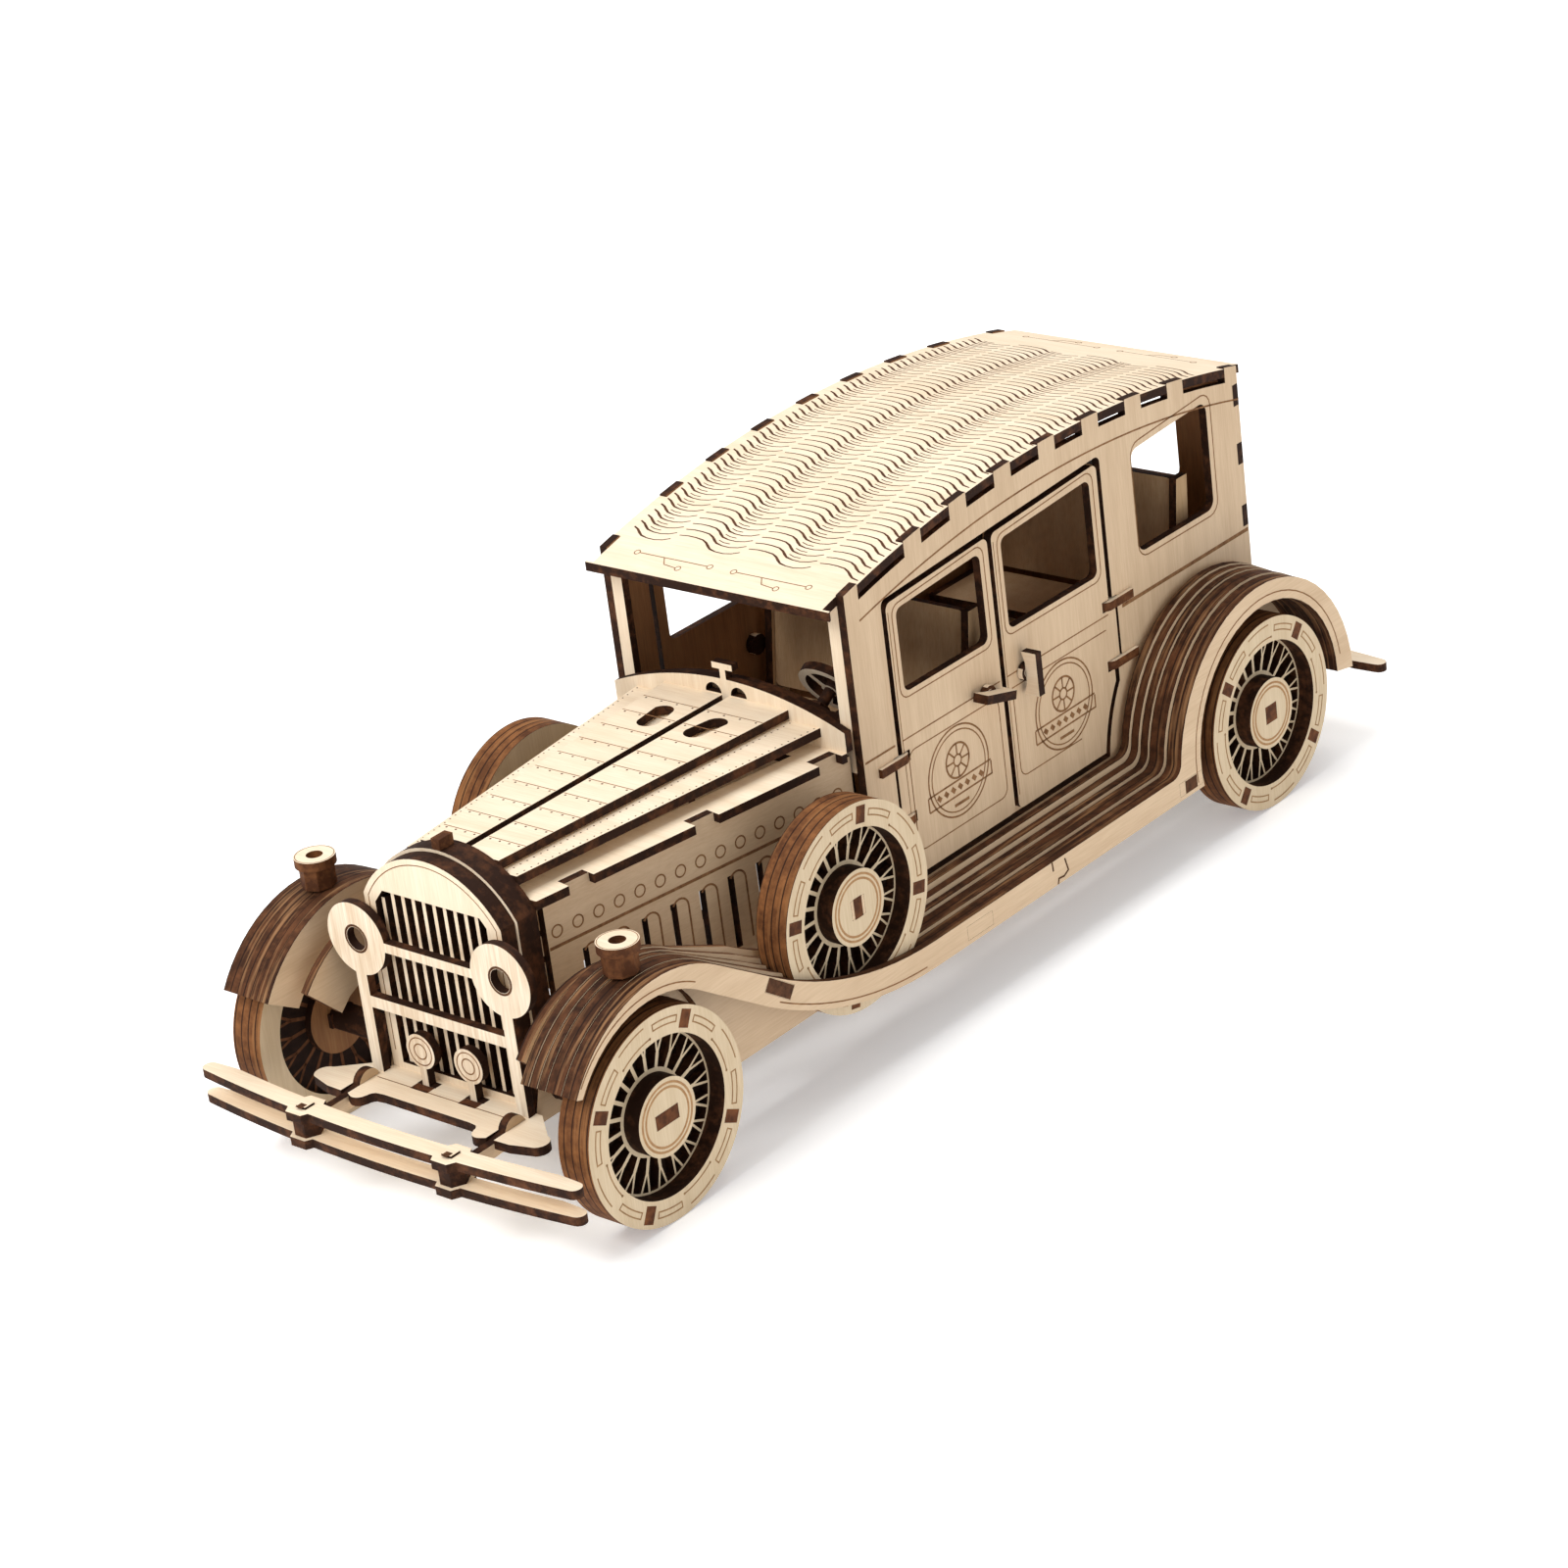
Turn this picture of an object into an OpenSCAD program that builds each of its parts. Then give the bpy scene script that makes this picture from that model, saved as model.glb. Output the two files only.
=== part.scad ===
// Vintage saloon car built from flat plywood sheets that tab into each other.
// x runs across the car (+x is its left side), y from front to rear, z up from the ground.
// Inside the modules y is counted from the front axle; placed() moves the car so that the
// origin lies on the ground under the middle of the whole length.

/* [Sheet] */
// Thickness of the plywood
ply = 2; // [1.6:0.1:2.4]
// Play on each side of a tab in its slot
slot_play = 0.05; // [0.02:0.01:0.15]
// Play on each side of a turning pin in its bore
pin_play = 0.06; // [0.03:0.01:0.1]

/* [Wheels] */
// Diameter of a wheel
wheel_d = 45; // [38:0.5:50]
// Distance between the axles
wheelbase = 208; // [190:1:250]
// Width over the outer faces of the wheels
track_over = 99.4; // [92:0.2:120]
// Sheets glued side by side in one tyre
tyre_sheets = 4; // [3:1:4]
// Radial width of the tyre ring
tyre_ring = 5.6; // [4.5:0.1:7]
// Diameter of the hub disc
hub_d = 16.5; // [12:0.5:18]
// Forked wire spokes in a wheel
spoke_count = 20; // [14:1:24]
// Diameter of the round axle dowel
axle_d = 6; // [5:0.1:7]

/* [Body] */
// Width over the side walls
body_w = 67.4; // [60:0.2:72]
// Front edge of the side walls behind the front axle
body_front = 87; // [80:1:100]
// Rear face of the rear wall behind the rear axle
rear_wall_y = 19; // [12:1:40]
// Height of the top of the roof
roof_top = 104.5; // [98:0.5:120]
// Radius of the roof's curve
roof_r = 298; // [260:2:400]
// Place of the roof's highest line behind the front axle
roof_peak = 160; // [150:1:175]
// Roof overhang in front of the windshield
roof_front_over = 5; // [3:0.5:9]
// Roof overhang behind the rear wall
roof_rear_over = 3.7; // [2:0.1:6]
// Height of the belt line
belt_z = 58; // [54:0.5:62]
// Height of the floor's top
floor_z = 30; // [28:0.5:34]

/* [Doors] */
// Front edge of the front doors behind the front axle
door_front = 99.4; // [94:0.2:104]
// Middle of the gap between the doors
door_middle = 134.7; // [130:0.2:142]
// Rear edge of the rear doors
door_rear = 173.2; // [168:0.2:182]
// Height of the doors' lower edge
door_z = 26.6; // [26:0.1:30]
// Height of the front door's upper front corner
door_top = 89; // [84:0.5:100]
// Gap around a door
door_gap = 1.4; // [1.3:0.1:2]
// Height of the middle of the front door's hinge
front_hinge_z = 47; // [44:0.5:52]
// Height of the middle of the rear door's hinge
rear_hinge_z = 53; // [50:0.5:58]
// Height between the two hinge plates
hinge_h = 12; // [8:0.5:14]
// Diameter of a hinge pin
hinge_pin_d = 1.6; // [1.4:0.1:1.8]
// Length of a handle's grip
grip_l = 10; // [8:0.5:12]
// Depth of a handle's grip
grip_w = 4.4; // [3:0.2:6]

/* [Bonnet] */
// Half width of the radiator's front plate
grille_half = 19; // [17:0.5:21]
// Height of the radiator's front plate at the middle
grille_top = 70.4; // [66:0.2:74]
// Front face of the radiator's front plate, from the front axle
grille_y = -7.3; // [-9:0.1:-7]
// Height of the bonnet's top plates
bonnet_z = 68.5; // [65:0.5:72]
// Bonnet side, half width at the front
side_half = 19.6; // [18:0.2:22]

/* [Fenders] */
// Width over the outer fender panels
fender_over = 98.4; // [92:0.2:120]
// Top of the running board at its outer edge
board_z = 21.5; // [20:0.5:24]
// Height of a fender panel along the running board
panel_w = 6; // [5:0.2:7]
// Place of the spare wheel's centre behind the front axle
spare_y = 65; // [60:1:70]
// Height of the spare wheel's centre
spare_z = 38; // [36:0.5:42]

/* [Bumpers] */
// Length of a bumper bar
bumper_l = 105.2; // [96:0.4:120]
// Top of the upper bumper bar
bumper_z = 22; // [20:0.5:24]
// Front edge of the front bumper, from the front axle
bumper_y = -33.5; // [-38:0.5:-31]
// Rear edge of the rear bumper behind the rear axle
rear_bumper_y = 47; // [45:0.5:56]

/* [Hidden] */
$fn = 72;

// wheels
wheel_r = wheel_d / 2;
wheel_face = track_over / 2;
wheel_w = tyre_sheets * ply;
tyre_in_r = wheel_r - tyre_ring;
disc_r = tyre_in_r + 1.9;
disc_depth = (tyre_sheets - 1) * ply;
axle_r = axle_d / 2;
peg = 0.7 * axle_d * [1, 1];
front_peg = axle_d * [1.1, 0.52];
tread_gap = 0.2;

// body
body_rear = wheelbase + rear_wall_y;
wall_out = body_w / 2;
wall_in = wall_out - ply;
roof_axis = [roof_peak, roof_top - roof_r];
roof_y0 = body_front - roof_front_over;
roof_y1 = body_rear + roof_rear_over;
tab_w = 5.8;
tab_proud = 0.3;
wall_drop = 1.2;
tab_pitch = 15.6;
tab_middle = (body_front + body_rear) / 2;
end_tab = 4.5;
tab_count = 2 * floor((body_rear - body_front) / 2 / tab_pitch - 1) + 1;
wall_foot = 20;
floor_low = floor_z - ply;
rail_x = 19.4;
inner_sheet_x = 29;
rail_foot = 17;
door_slope = 0.058;
door_round = 1.6;
fender_gap = 3.4;

// fenders: each sheet further in is a little larger, given by its step
panel_x = fender_over / 2;
board_low = board_z - panel_w + 0.1;
sheet_steps = [0, 0, 0.8, 0.8, 1.6, 2.8, 4.2];
rear_steps = [0, 0, 0.9, 0.9, 1.5, 2.3, 3.1];
step_shift = [0.75, -0.45];
step_grow = 0.25;
outer_sheets = tyre_sheets + 1;
front_arch = 3;
slope_a = 33;
dip_r = 90;

// bonnet
shell_y = grille_y + ply;
bonnet_y0 = shell_y + 4 * ply;
bonnet_y1 = body_front - 3;
step_z = bonnet_z - 2.5;
ledge_z = bonnet_z - 7;
ledge_half = wall_out - 1.6;
side_angle = atan((ledge_half - side_half) / (body_front - bonnet_y0));
side_length = (body_front - bonnet_y0) / cos(side_angle);
opening_half = grille_half - 3;
opening_top = grille_top - 9.4;
apron_z = bumper_z - ply;
lap_start = grille_y - 3.9;
lap_end = grille_y - 1;

// bumpers
rear_end = wheelbase + rear_bumper_y;
car_mid = (bumper_y + rear_end) / 2;

pale = "burlywood";
burnt = "saddlebrown";
light = "wheat";
dark = "sienna";

// ---------------------------------------------------------------- helpers

module placed() {
    translate([0, -car_mid, 0]) children();
}

module both() {
    children();
    mirror([1, 0, 0]) children();
}

// A sheet across x: its outline is drawn in y and z.
module sheet_x(x, t = ply) {
    translate([x, 0, 0]) rotate([90, 0, 90]) linear_extrude(t) children();
}

// A sheet across y: its outline is drawn in x and z.
module sheet_y(y, t = ply) {
    translate([0, y + t, 0]) rotate([90, 0, 0]) linear_extrude(t) children();
}

// A sheet across z: its outline is drawn in x and y.
module sheet_z(z, t = ply) {
    translate([0, 0, z]) linear_extrude(t) children();
}

module rect(a, b) {
    translate(a) square(b - a);
}

module mid_rect(c, w, h) {
    translate([c[0] - w / 2, c[1] - h / 2]) square([w, h]);
}

function arc(c, r, a, b, n = 12) =
    [for (i = [0:n]) c + r * [cos(a + (b - a) * i / n), sin(a + (b - a) * i / n)]];

function unit(v) = v / norm(v);

// The points of the fillet of radius r at corner b between a and c.
function fillet(a, b, c, r, n = 5) =
    let (u = unit(a - b), v = unit(c - b), half = acos(u * v) / 2,
         m = b + unit(u + v) * r / sin(half),
         p = b + u * r / tan(half) - m, q = b + v * r / tan(half) - m,
         a0 = atan2(p[1], p[0]), d = atan2(q[1], q[0]) - a0,
         turn = d > 180 ? d - 360 : d < -180 ? d + 360 : d)
    [for (i = [0:n]) m + r * [cos(a0 + turn * i / n), sin(a0 + turn * i / n)]];

function rounded(p, r) =
    let (n = len(p))
    [for (i = [0:n - 1]) each fillet(p[(i + n - 1) % n], p[i], p[(i + 1) % n], r)];

// ---------------------------------------------------------------- wheels

// A wheel part is drawn with its outer face at x = 0 and the wheel reaching inwards to -wheel_w.
module ring_x(x, t, r, inner) {
    sheet_x(x, t) difference() {
        circle(r);
        circle(inner);
    }
}

module tyre() {
    color(burnt) {
        ring_x(-disc_depth + ply, disc_depth - ply, wheel_r, tyre_in_r);
        ring_x(-disc_depth, ply, wheel_r, disc_r + slot_play);
        ring_x(-wheel_w, wheel_w - disc_depth, wheel_r, tyre_in_r);
    }
}

// A straight strip of the spoke sheet from radius and angle p to radius and angle q.
module strip(p, q, wide) {
    a = p[0] * [cos(p[1]), sin(p[1])];
    b = q[0] * [cos(q[1]), sin(q[1])];
    side = wide / 2 * unit([b[1] - a[1], a[0] - b[0]]);
    polygon([a + side, b + side, b - side, a - side]);
}

fork_r = 12.2;
fork_lap = 0.4;
hub_flange = 0.9;
rim_lip = 0.5;
rim_lap = 1;
fork_spread = 0.27;
stem_w = 0.85;
branch_w = 0.5;

module peg_hole(size) {
    mid_rect([0, 0], size[0] + 2 * slot_play, size[1] + 2 * slot_play);
}

module spoke_disc(size) {
    pitch = 360 / spoke_count;
    color(pale) sheet_x(-disc_depth) difference() {
        union() {
            difference() {
                circle(disc_r);
                circle(tyre_in_r - rim_lip);
            }
            circle(hub_d / 2 + hub_flange);
            for (i = [0:spoke_count - 1]) {
                strip([hub_d / 2, pitch * i], [fork_r, pitch * i], stem_w);
                for (s = [-1, 1]) strip([fork_r - fork_lap, pitch * i],
                    [disc_r - rim_lap, pitch * (i + s * fork_spread)], branch_w);
            }
        }
        peg_hole(size);
    }
}

// The hub discs in front of the spokes and behind them.
module hub(size) {
    color(light) {
        sheet_x(-disc_depth + ply, disc_depth - ply) difference() {
            circle(hub_d / 2);
            peg_hole(size);
        }
        sheet_x(-wheel_w, wheel_w - disc_depth) difference() {
            circle(hub_d / 2);
            peg_hole(size);
        }
    }
}

module at_wheel(y) {
    translate([wheel_face, y, wheel_r]) children();
}

module at_spare() {
    translate([panel_x - ply, spare_y, spare_z]) children();
}

module axle(y, size) {
    long = 2 * (wheel_face - wheel_w);
    color(burnt) translate([0, y, wheel_r]) {
        rotate([0, 90, 0]) cylinder(r = axle_r, h = long, center = true);
        both() translate([long / 2 - 1, -size[0] / 2, -size[1] / 2])
            cube([wheel_w + 1, size[0], size[1]]);
    }
}

// An upright beside the bonnet with a square peg that carries the spare wheel.
module spare_bracket() {
    x = panel_x - (len(sheet_steps) + 1) * ply;
    color(dark) {
        sheet_x(x) polygon(concat([[spare_y - 9, rail_foot], [spare_y + 9, rail_foot]],
            arc([spare_y, spare_z], 7, 0, 180)));
        translate([x, spare_y - peg[0] / 2, spare_z - peg[1] / 2])
            cube([panel_x - ply - x, peg[0], peg[1]]);
    }
}

// ---------------------------------------------------------------- chassis

module frame_rail() {
    horn_top = bumper_z - ply;
    horn_foot = bumper_z - ply - bar_pitch + ply;
    tip = bumper_y + clamp_y + spacer_r * cos(30);
    color(pale) sheet_x(rail_x) difference() {
        polygon(concat(
            [[rear_end - 8, rail_foot], [rear_end - 8, rear_bar + ply], [rear_end - 0.6,
             rear_bar + ply], [rear_end - 0.6, horn_top], [rear_end - 5.5, horn_top],
             [rear_end - 6.5, floor_low], [-5.4, floor_low], [lap_end, apron_z - ply],
             [lap_start, apron_z - ply]],
            arc([lap_start - 2.8, apron_z - 0.8], 3, 20, 170, 10),
            [[lap_start - 9, horn_top - 0.8], [lap_start - 14, horn_top - 0.8],
             [tip, horn_top], [tip, horn_foot], [lap_start - 9, horn_foot], [-7, rail_foot]]));
        for (y = [0, wheelbase]) translate([y, wheel_r]) circle(axle_r + pin_play);
    }
}

module cross_member(y) {
    color(pale) sheet_y(y) rect([-rail_x, rail_foot], [rail_x, floor_low]);
}

module frame_rails() {
    both() frame_rail();
}

module cross_members() {
    for (y = [18, 62, 104, 150, 190, body_rear - ply]) cross_member(y);
}

module floor_sheet() {
    half = wall_in - 0.3;
    color(pale) sheet_z(floor_low) {
        rect([-half, body_front + ply], [half, body_rear - ply]);
        for (y = [body_front + 4, door_rear + 14, body_rear - 16])
            rect([-wall_out, y], [wall_out, y + 5]);
    }
}

// The sheet that the radiator and the lamp bracket stand on; it laps over the frame rails.
module front_apron() {
    edge = rail_x - slot_play;
    color(light) sheet_z(apron_z - ply) difference() {
        both() polygon(concat([[0, -17.4], [12, -17.4]], arc([13, -19.4], 2, 60, 0, 3),
            arc([17.2, -19.2], 2.1, 190, 300, 6), [[edge, -20.4], [rail_x + 6, -20.2]],
            arc([29.6, -16.4], 2.6, -60, 80, 8), [[rail_x + 4, lap_end], [edge, lap_end],
            [edge, -axle_r - 0.4], [0, -axle_r - 0.4]]));
        for (s = [-1, 1]) {
            mid_rect([s * fog_x, bracket_y + ply / 2], fog_tenon + 2 * slot_play,
                ply + 2 * slot_play);
            mid_rect([s * (rail_x + ply / 2), lap_start - 10], ply + 2 * slot_play, 20.2);
        }
    }
}

module rear_deck() {
    half = panel_x - len(sheet_steps) * ply;
    color(pale) sheet_z(floor_z + 4) difference() {
        rect([-half, body_rear], [half, body_rear + 19]);
        for (i = [-2:2]) mid_rect([i * 12, body_rear + 9], 4, 13);
    }
}

module rear_apron() {
    half = panel_x - len(sheet_steps) * ply;
    color(pale) sheet_y(body_rear + 19) difference() {
        rect([-half, floor_low - 6], [half, floor_z + 4 + ply]);
        for (s = [-1, 1]) translate([s * (rail_x + ply / 2), floor_low]) square(
            [ply + 2 * slot_play, 14], center = true);
    }
}

// ---------------------------------------------------------------- body

function door_line(y) = door_top + door_slope * (y - door_front);

module roof_disc(grow) {
    translate(roof_axis) circle(roof_r + grow, $fn = 480);
}

module tab_strips(play) {
    for (i = [0:tab_count - 1])
        mid_rect([tab_middle + tab_pitch * (i - (tab_count - 1) / 2), roof_top], tab_w + 2 * play, 60);
    for (y = [body_front, body_rear]) mid_rect([y, roof_top], 2 * (end_tab + play), 60);
}

// The space that the rear fender needs beside a door, with some room for its swing.
module fender_room(room) {
    step = rear_steps[len(rear_steps) - 1];
    translate(rear_c - step * step_shift) circle(rear_r + step_grow * step + room);
}

// The hinges' middles, front and rear door, in y and z.
hinges = [[door_front, front_hinge_z], [door_rear, rear_hinge_z]];

module door_opening() {
    y0 = door_front - door_gap;
    y1 = door_rear + door_gap;
    difference() {
        polygon(rounded([[y0, door_z - door_gap], [y1, door_z - door_gap],
            [y1, door_line(y1) + door_gap], [y0, door_line(y0) + door_gap]], door_round));
        fender_room(fender_gap - door_gap);
    }
    for (h = hinges) mid_rect(h, 2 * (ear_l + 0.8), hinge_h + 2 * ply + 0.6);
}

// Height of the roof's underside.
function under_roof(y) = roof_axis[1] + sqrt(pow(roof_r - ply, 2) - pow(y - roof_peak, 2));

// Top of a window, below the doors' upper line and below the top of the wall.
function window_top(y, drop) =
    min(door_line(y) - drop, under_roof(y) - wall_drop - window_bar);

window_bar = 2.5;
rear_wall_top = under_roof(body_rear) - 0.1;

module window(y0, y1, low, drop, r = 1.8) {
    polygon(rounded([[y0, low], [y1, low], [y1, window_top(y1, drop)],
        [y0, window_top(y0, drop)]], r));
}

module wall_blank() {
    polygon([[body_front, wall_foot], [door_rear + 5, wall_foot], [door_rear + 9, floor_low],
        [body_rear, floor_low], [body_rear, roof_top + 9], [body_front, roof_top + 9]]);
}

finger_h = 5;
finger_places = [floor_z + 6, belt_z + 1, belt_z + 16, belt_z + 30];
rear_fingers = [for (z = finger_places) if (z + finger_h < rear_wall_top - 1) z];

module side_wall() {
    color(light) sheet_x(wall_in) difference() {
        union() {
            intersection() {
                wall_blank();
                roof_disc(-ply - wall_drop);
            }
            intersection() {
                wall_blank();
                roof_disc(tab_proud);
                tab_strips(0);
            }
        }
        door_opening();
        window(door_rear + 12.5, body_rear - 12.5, belt_z + 9.5, 2.5, 2.5);
        for (y = [body_front + 4, door_rear + 14, body_rear - 16])
            rect([y - slot_play, floor_low - slot_play], [y + 5 + slot_play, floor_z + slot_play]);
        for (h = hinges, s = [-1, 1])
            mid_rect(h + [0, s * (hinge_h + ply) / 2], 2 * (plate_l + slot_play), ply + 2 * slot_play);
        for (z = rear_fingers)
            rect([body_rear - ply - slot_play, z - slot_play],
                [body_rear + 1, z + finger_h + slot_play]);
    }
}

module rear_wall() {
    high = rear_wall_top;
    color(light) sheet_y(body_rear - ply) difference() {
        union() {
            rect([-wall_in + slot_play, floor_low], [wall_in - slot_play, high]);
            for (z = rear_fingers) rect([-wall_out, z], [wall_out, z + finger_h]);
        }
        polygon(rounded([[-17, belt_z + 10], [17, belt_z + 10], [17, high - 6],
            [-17, high - 6]], 3));
    }
}

cowl_top = bonnet_z + 3.8;
cowl_r = 85;
pillar_w = 3;

module windshield_frame() {
    half = wall_in - slot_play;
    high = roof_axis[1] + sqrt(pow(roof_r - ply, 2) - pow(roof_peak - body_front, 2)) - 0.1;
    color(light) sheet_y(body_front) difference() {
        rect([-half, ledge_z - 6], [half, high]);
        difference() {
            polygon(rounded([[-half + pillar_w, ledge_z - 3], [half - pillar_w, ledge_z - 3],
                [half - pillar_w, high - 2.6], [-half + pillar_w, high - 2.6]], 1.5));
            translate([0, cowl_top - 1 - cowl_r]) circle(cowl_r, $fn = 240);
        }
    }
}

module cowl() {
    half = ledge_half;
    low_half = half - ply - ledge_over - 0.9;
    color(light) sheet_y(bonnet_y1) difference() {
        intersection() {
            rect([-half, floor_z], [half, cowl_top + 9]);
            union() {
                difference() {
                    translate([0, cowl_top - cowl_r]) circle(cowl_r, $fn = 240);
                    rect([-half, 0], [half, ledge_z]);
                }
                rect([-low_half, floor_z], [low_half, ledge_z + 1]);
            }
        }
        for (x = [-3.2, 3.8]) intersection() {
            translate([x, bonnet_z + 0.3]) circle(2.2);
            rect([x - 3, bonnet_z + 0.3], [x + 3, bonnet_z + 3]);
        }
    }
    color(dark) sheet_y(bonnet_y1) {
        rect([-0.8, cowl_top - 0.5], [0.8, cowl_top + 3]);
        rect([-2.8, cowl_top + 2.2], [2.8, cowl_top + 3.6]);
    }
}

module roof() {
    color(light) difference() {
        sheet_x(-wall_out, body_w) difference() {
            intersection() {
                roof_disc(0);
                rect([roof_y0, belt_z], [roof_y1, roof_top + 9]);
            }
            roof_disc(-ply);
        }
        both() sheet_x(wall_in - slot_play, ply + 1) tab_strips(slot_play);
    }
}

module sun_visors() {
    high = roof_axis[1] + sqrt(pow(roof_r - ply, 2) - pow(roof_peak - body_front - ply, 2));
    color(dark) for (x = [-18, 12])
        sheet_y(body_front + ply + 0.2, 1.5)
            polygon(rounded([[x - 6, high - 5.5], [x + 6, high - 5.5], [x + 6, high - 0.4],
                [x - 6, high - 0.4]], 1));
}

// ---------------------------------------------------------------- doors

ear_l = 2.2;
pin_r = hinge_pin_d / 2;
bore_r = pin_r + pin_play;
pivot_x = wall_out - ply / 2;
plate_r = 1.9;
notch_r = plate_r + 0.5;
plate_l = 8;

// A door: hinge is the middle of its hinge in y and z, free is the y of its other edge.
module door(hinge, free) {
    edge = hinge[0];
    low = hinge[1] - hinge_h / 2;
    high = hinge[1] + hinge_h / 2;
    way = sign(free - edge);
    win0 = edge + way * 3;
    win1 = free - way * 3;
    color(light) difference() {
        union() {
            sheet_x(wall_in) difference() {
                union() {
                    polygon(rounded([[min(edge, free), door_z], [max(edge, free), door_z],
                        [max(edge, free), door_line(max(edge, free))],
                        [min(edge, free), door_line(min(edge, free))]], door_round));
                    rect([min(edge - way * ear_l, edge + way * 3), low + 0.2],
                        [max(edge - way * ear_l, edge + way * 3), high - 0.2]);
                }
                window(min(win0, win1), max(win0, win1), belt_z + 10, 2.4);
                fender_room(fender_gap);
                translate([free - way * handle_in, handle_z]) circle(shaft_r + pin_play);
            }
            for (z = [low - ply + 0.3, high - 1])
                translate([pivot_x, edge, z]) cylinder(r = pin_r, h = ply + 0.7, $fn = 32);
        }
        for (z = [low - ply - 0.3, high - 0.2]) difference() {
            translate([wall_in - 1, edge - notch_r, z]) cube([ply + 2, 2 * notch_r, ply + 0.5]);
            translate([pivot_x, edge, z - 1]) cylinder(r = pin_r, h = ply + 3, $fn = 32);
        }
    }
}

// Two small sheets lying flat hold the pins of one door; back is the way into the wall.
module hinge_pair(hinge, back) {
    for (s = [-1, 1]) translate([pivot_x, hinge[0], hinge[1] + s * (hinge_h + ply) / 2 - ply / 2])
        difference() {
            union() {
                cylinder(r = plate_r, h = ply);
                translate([-plate_r, back < 0 ? -plate_l : 0, 0]) cube([2 * plate_r, plate_l, ply]);
            }
            translate([0, 0, -1]) cylinder(r = bore_r, h = ply + 2, $fn = 32);
        }
}

module hinge_plates() {
    color(dark) both() {
        hinge_pair(hinges[0], -1);
        hinge_pair(hinges[1], 1);
    }
}

shaft_r = 1.3;
handle_z = belt_z - 0.8;
handle_in = 6;
front_turn = 75;

module handle(y, turn) {
    color(burnt) translate([0, y, handle_z]) rotate([turn, 0, 0]) {
        translate([wall_in - 1.9, 0, 0]) rotate([0, 90, 0]) cylinder(r = shaft_r, h = ply + 3.6);
        translate([wall_in - 1.9, 0, 0]) rotate([0, 90, 0]) cylinder(r = 2.4, h = 1.7);
        translate([wall_out + 0.2, 0, 0]) rotate([0, 90, 0]) cylinder(r = 2.1, h = 1.3);
        sheet_y(-ply / 2) translate([wall_out + 0.3, 0]) polygon([[0.5, -grip_l / 2],
            [grip_w, -grip_l / 2], [grip_w, grip_l / 2], [0.5, grip_l / 2], [1.3, grip_l / 4],
            [1.3, -grip_l / 4]]);
    }
}

// ---------------------------------------------------------------- inside

column_at = [16, body_front + 12, bonnet_z - 2];
column_tilt = 58;
column_r = 1.3;
column_l = 10.2;

module on_column() {
    translate(column_at) rotate([-column_tilt, 0, 0]) children();
}

module dashboard() {
    color(dark) {
        sheet_y(body_front + ply) difference() {
            rect([-27, floor_z], [27, ledge_z + 5]);
            mid_rect([column_at[0], ledge_z - 4], 9, 13.6);
        }
        on_column() translate([0, 0, -8]) difference() {
            translate([-4.4, -5.5, 0]) cube([8.8, 10, ply]);
            translate([0, 0, -1]) cylinder(r = column_r + pin_play, h = ply + 2);
        }
    }
}

module steering_column() {
    color(burnt) on_column() translate([0, 0, -column_l]) {
        cylinder(r = column_r, h = column_l);
        cylinder(r = 2.3, h = column_l - 8 - 0.3);
        translate([0, 0, column_l - 8 + ply + 0.4]) cylinder(r = 2.3, h = 1.5);
    }
}

module steering_wheel() {
    color(dark) on_column() linear_extrude(ply) {
        difference() {
            circle(7.6);
            circle(5.9);
        }
        circle(2);
        for (a = [0, 120, 240]) rotate(a) rect([0, -0.7], [6.2, 0.7]);
    }
}

seat_in = 4;
seat_out = wall_in - 3;
front_seat_y = door_front + 12;
rear_seat_y = wheelbase - 22;
cushion_z = floor_z + 15;

// Silhouette of a seat's side: y is the front edge of the cushion, tall the back's height.
module seat_side_outline(y, deep, tall) {
    polygon([[y, floor_z], [y + deep + 3, floor_z], [y + deep + 7, cushion_z + tall],
        [y + deep + 3, cushion_z + tall], [y + deep - 1, cushion_z + 2], [y, cushion_z + 2]]);
}

module seat_sides() {
    color(pale) {
        both() for (x = [seat_in, seat_out - ply]) sheet_x(x) seat_side_outline(front_seat_y, 17, 29);
        both() sheet_x(seat_out - ply) seat_side_outline(rear_seat_y, 19, 31);
    }
}

module seat_cushions() {
    color(light) {
        both() sheet_z(cushion_z) rect([seat_in + ply, front_seat_y], [seat_out - ply,
            front_seat_y + 16]);
        sheet_z(cushion_z) rect([-seat_out + ply, rear_seat_y], [seat_out - ply,
            rear_seat_y + 18]);
    }
}

module seat_back(x0, x1, y, tall) {
    color(light) translate([0, y, cushion_z + 2.6]) rotate([-8, 0, 0])
        rotate([90, 0, 0]) linear_extrude(ply)
            polygon(rounded([[x0, 0], [x1, 0], [x1, tall], [x0, tall]], 1.2));
}

module front_seat_backs() {
    both() seat_back(seat_in + ply + 0.1, seat_out - ply - 0.1, front_seat_y + 19, 26);
}

module rear_seat_back() {
    seat_back(-seat_out + ply + 0.1, seat_out - ply - 0.1, rear_seat_y + 21, 28);
}

// ---------------------------------------------------------------- bonnet

// Half of a bonnet sheet that widens from w0 at the radiator to w1 at the cowl.
module half_bonnet(x0, w0, w1, y0 = bonnet_y0, y1 = bonnet_y1) {
    polygon([[x0, y0], [w0, y0], [w1, y1], [x0, y1]]);
}

module bonnet_top() {
    color(light) both() sheet_z(bonnet_z - ply) difference() {
        half_bonnet(1, side_half - 8.8, ledge_half - 14.8);
        polygon(concat(arc([7.5, spare_y + 7], 2.7, 20, 160), arc([6.5, spare_y + 2], 2.7, 180, 340)));
    }
}

module bonnet_steps() {
    color(light) both() sheet_z(step_z - ply)
        half_bonnet(0, side_half - 4.4, ledge_half - 6.5);
}

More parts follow.
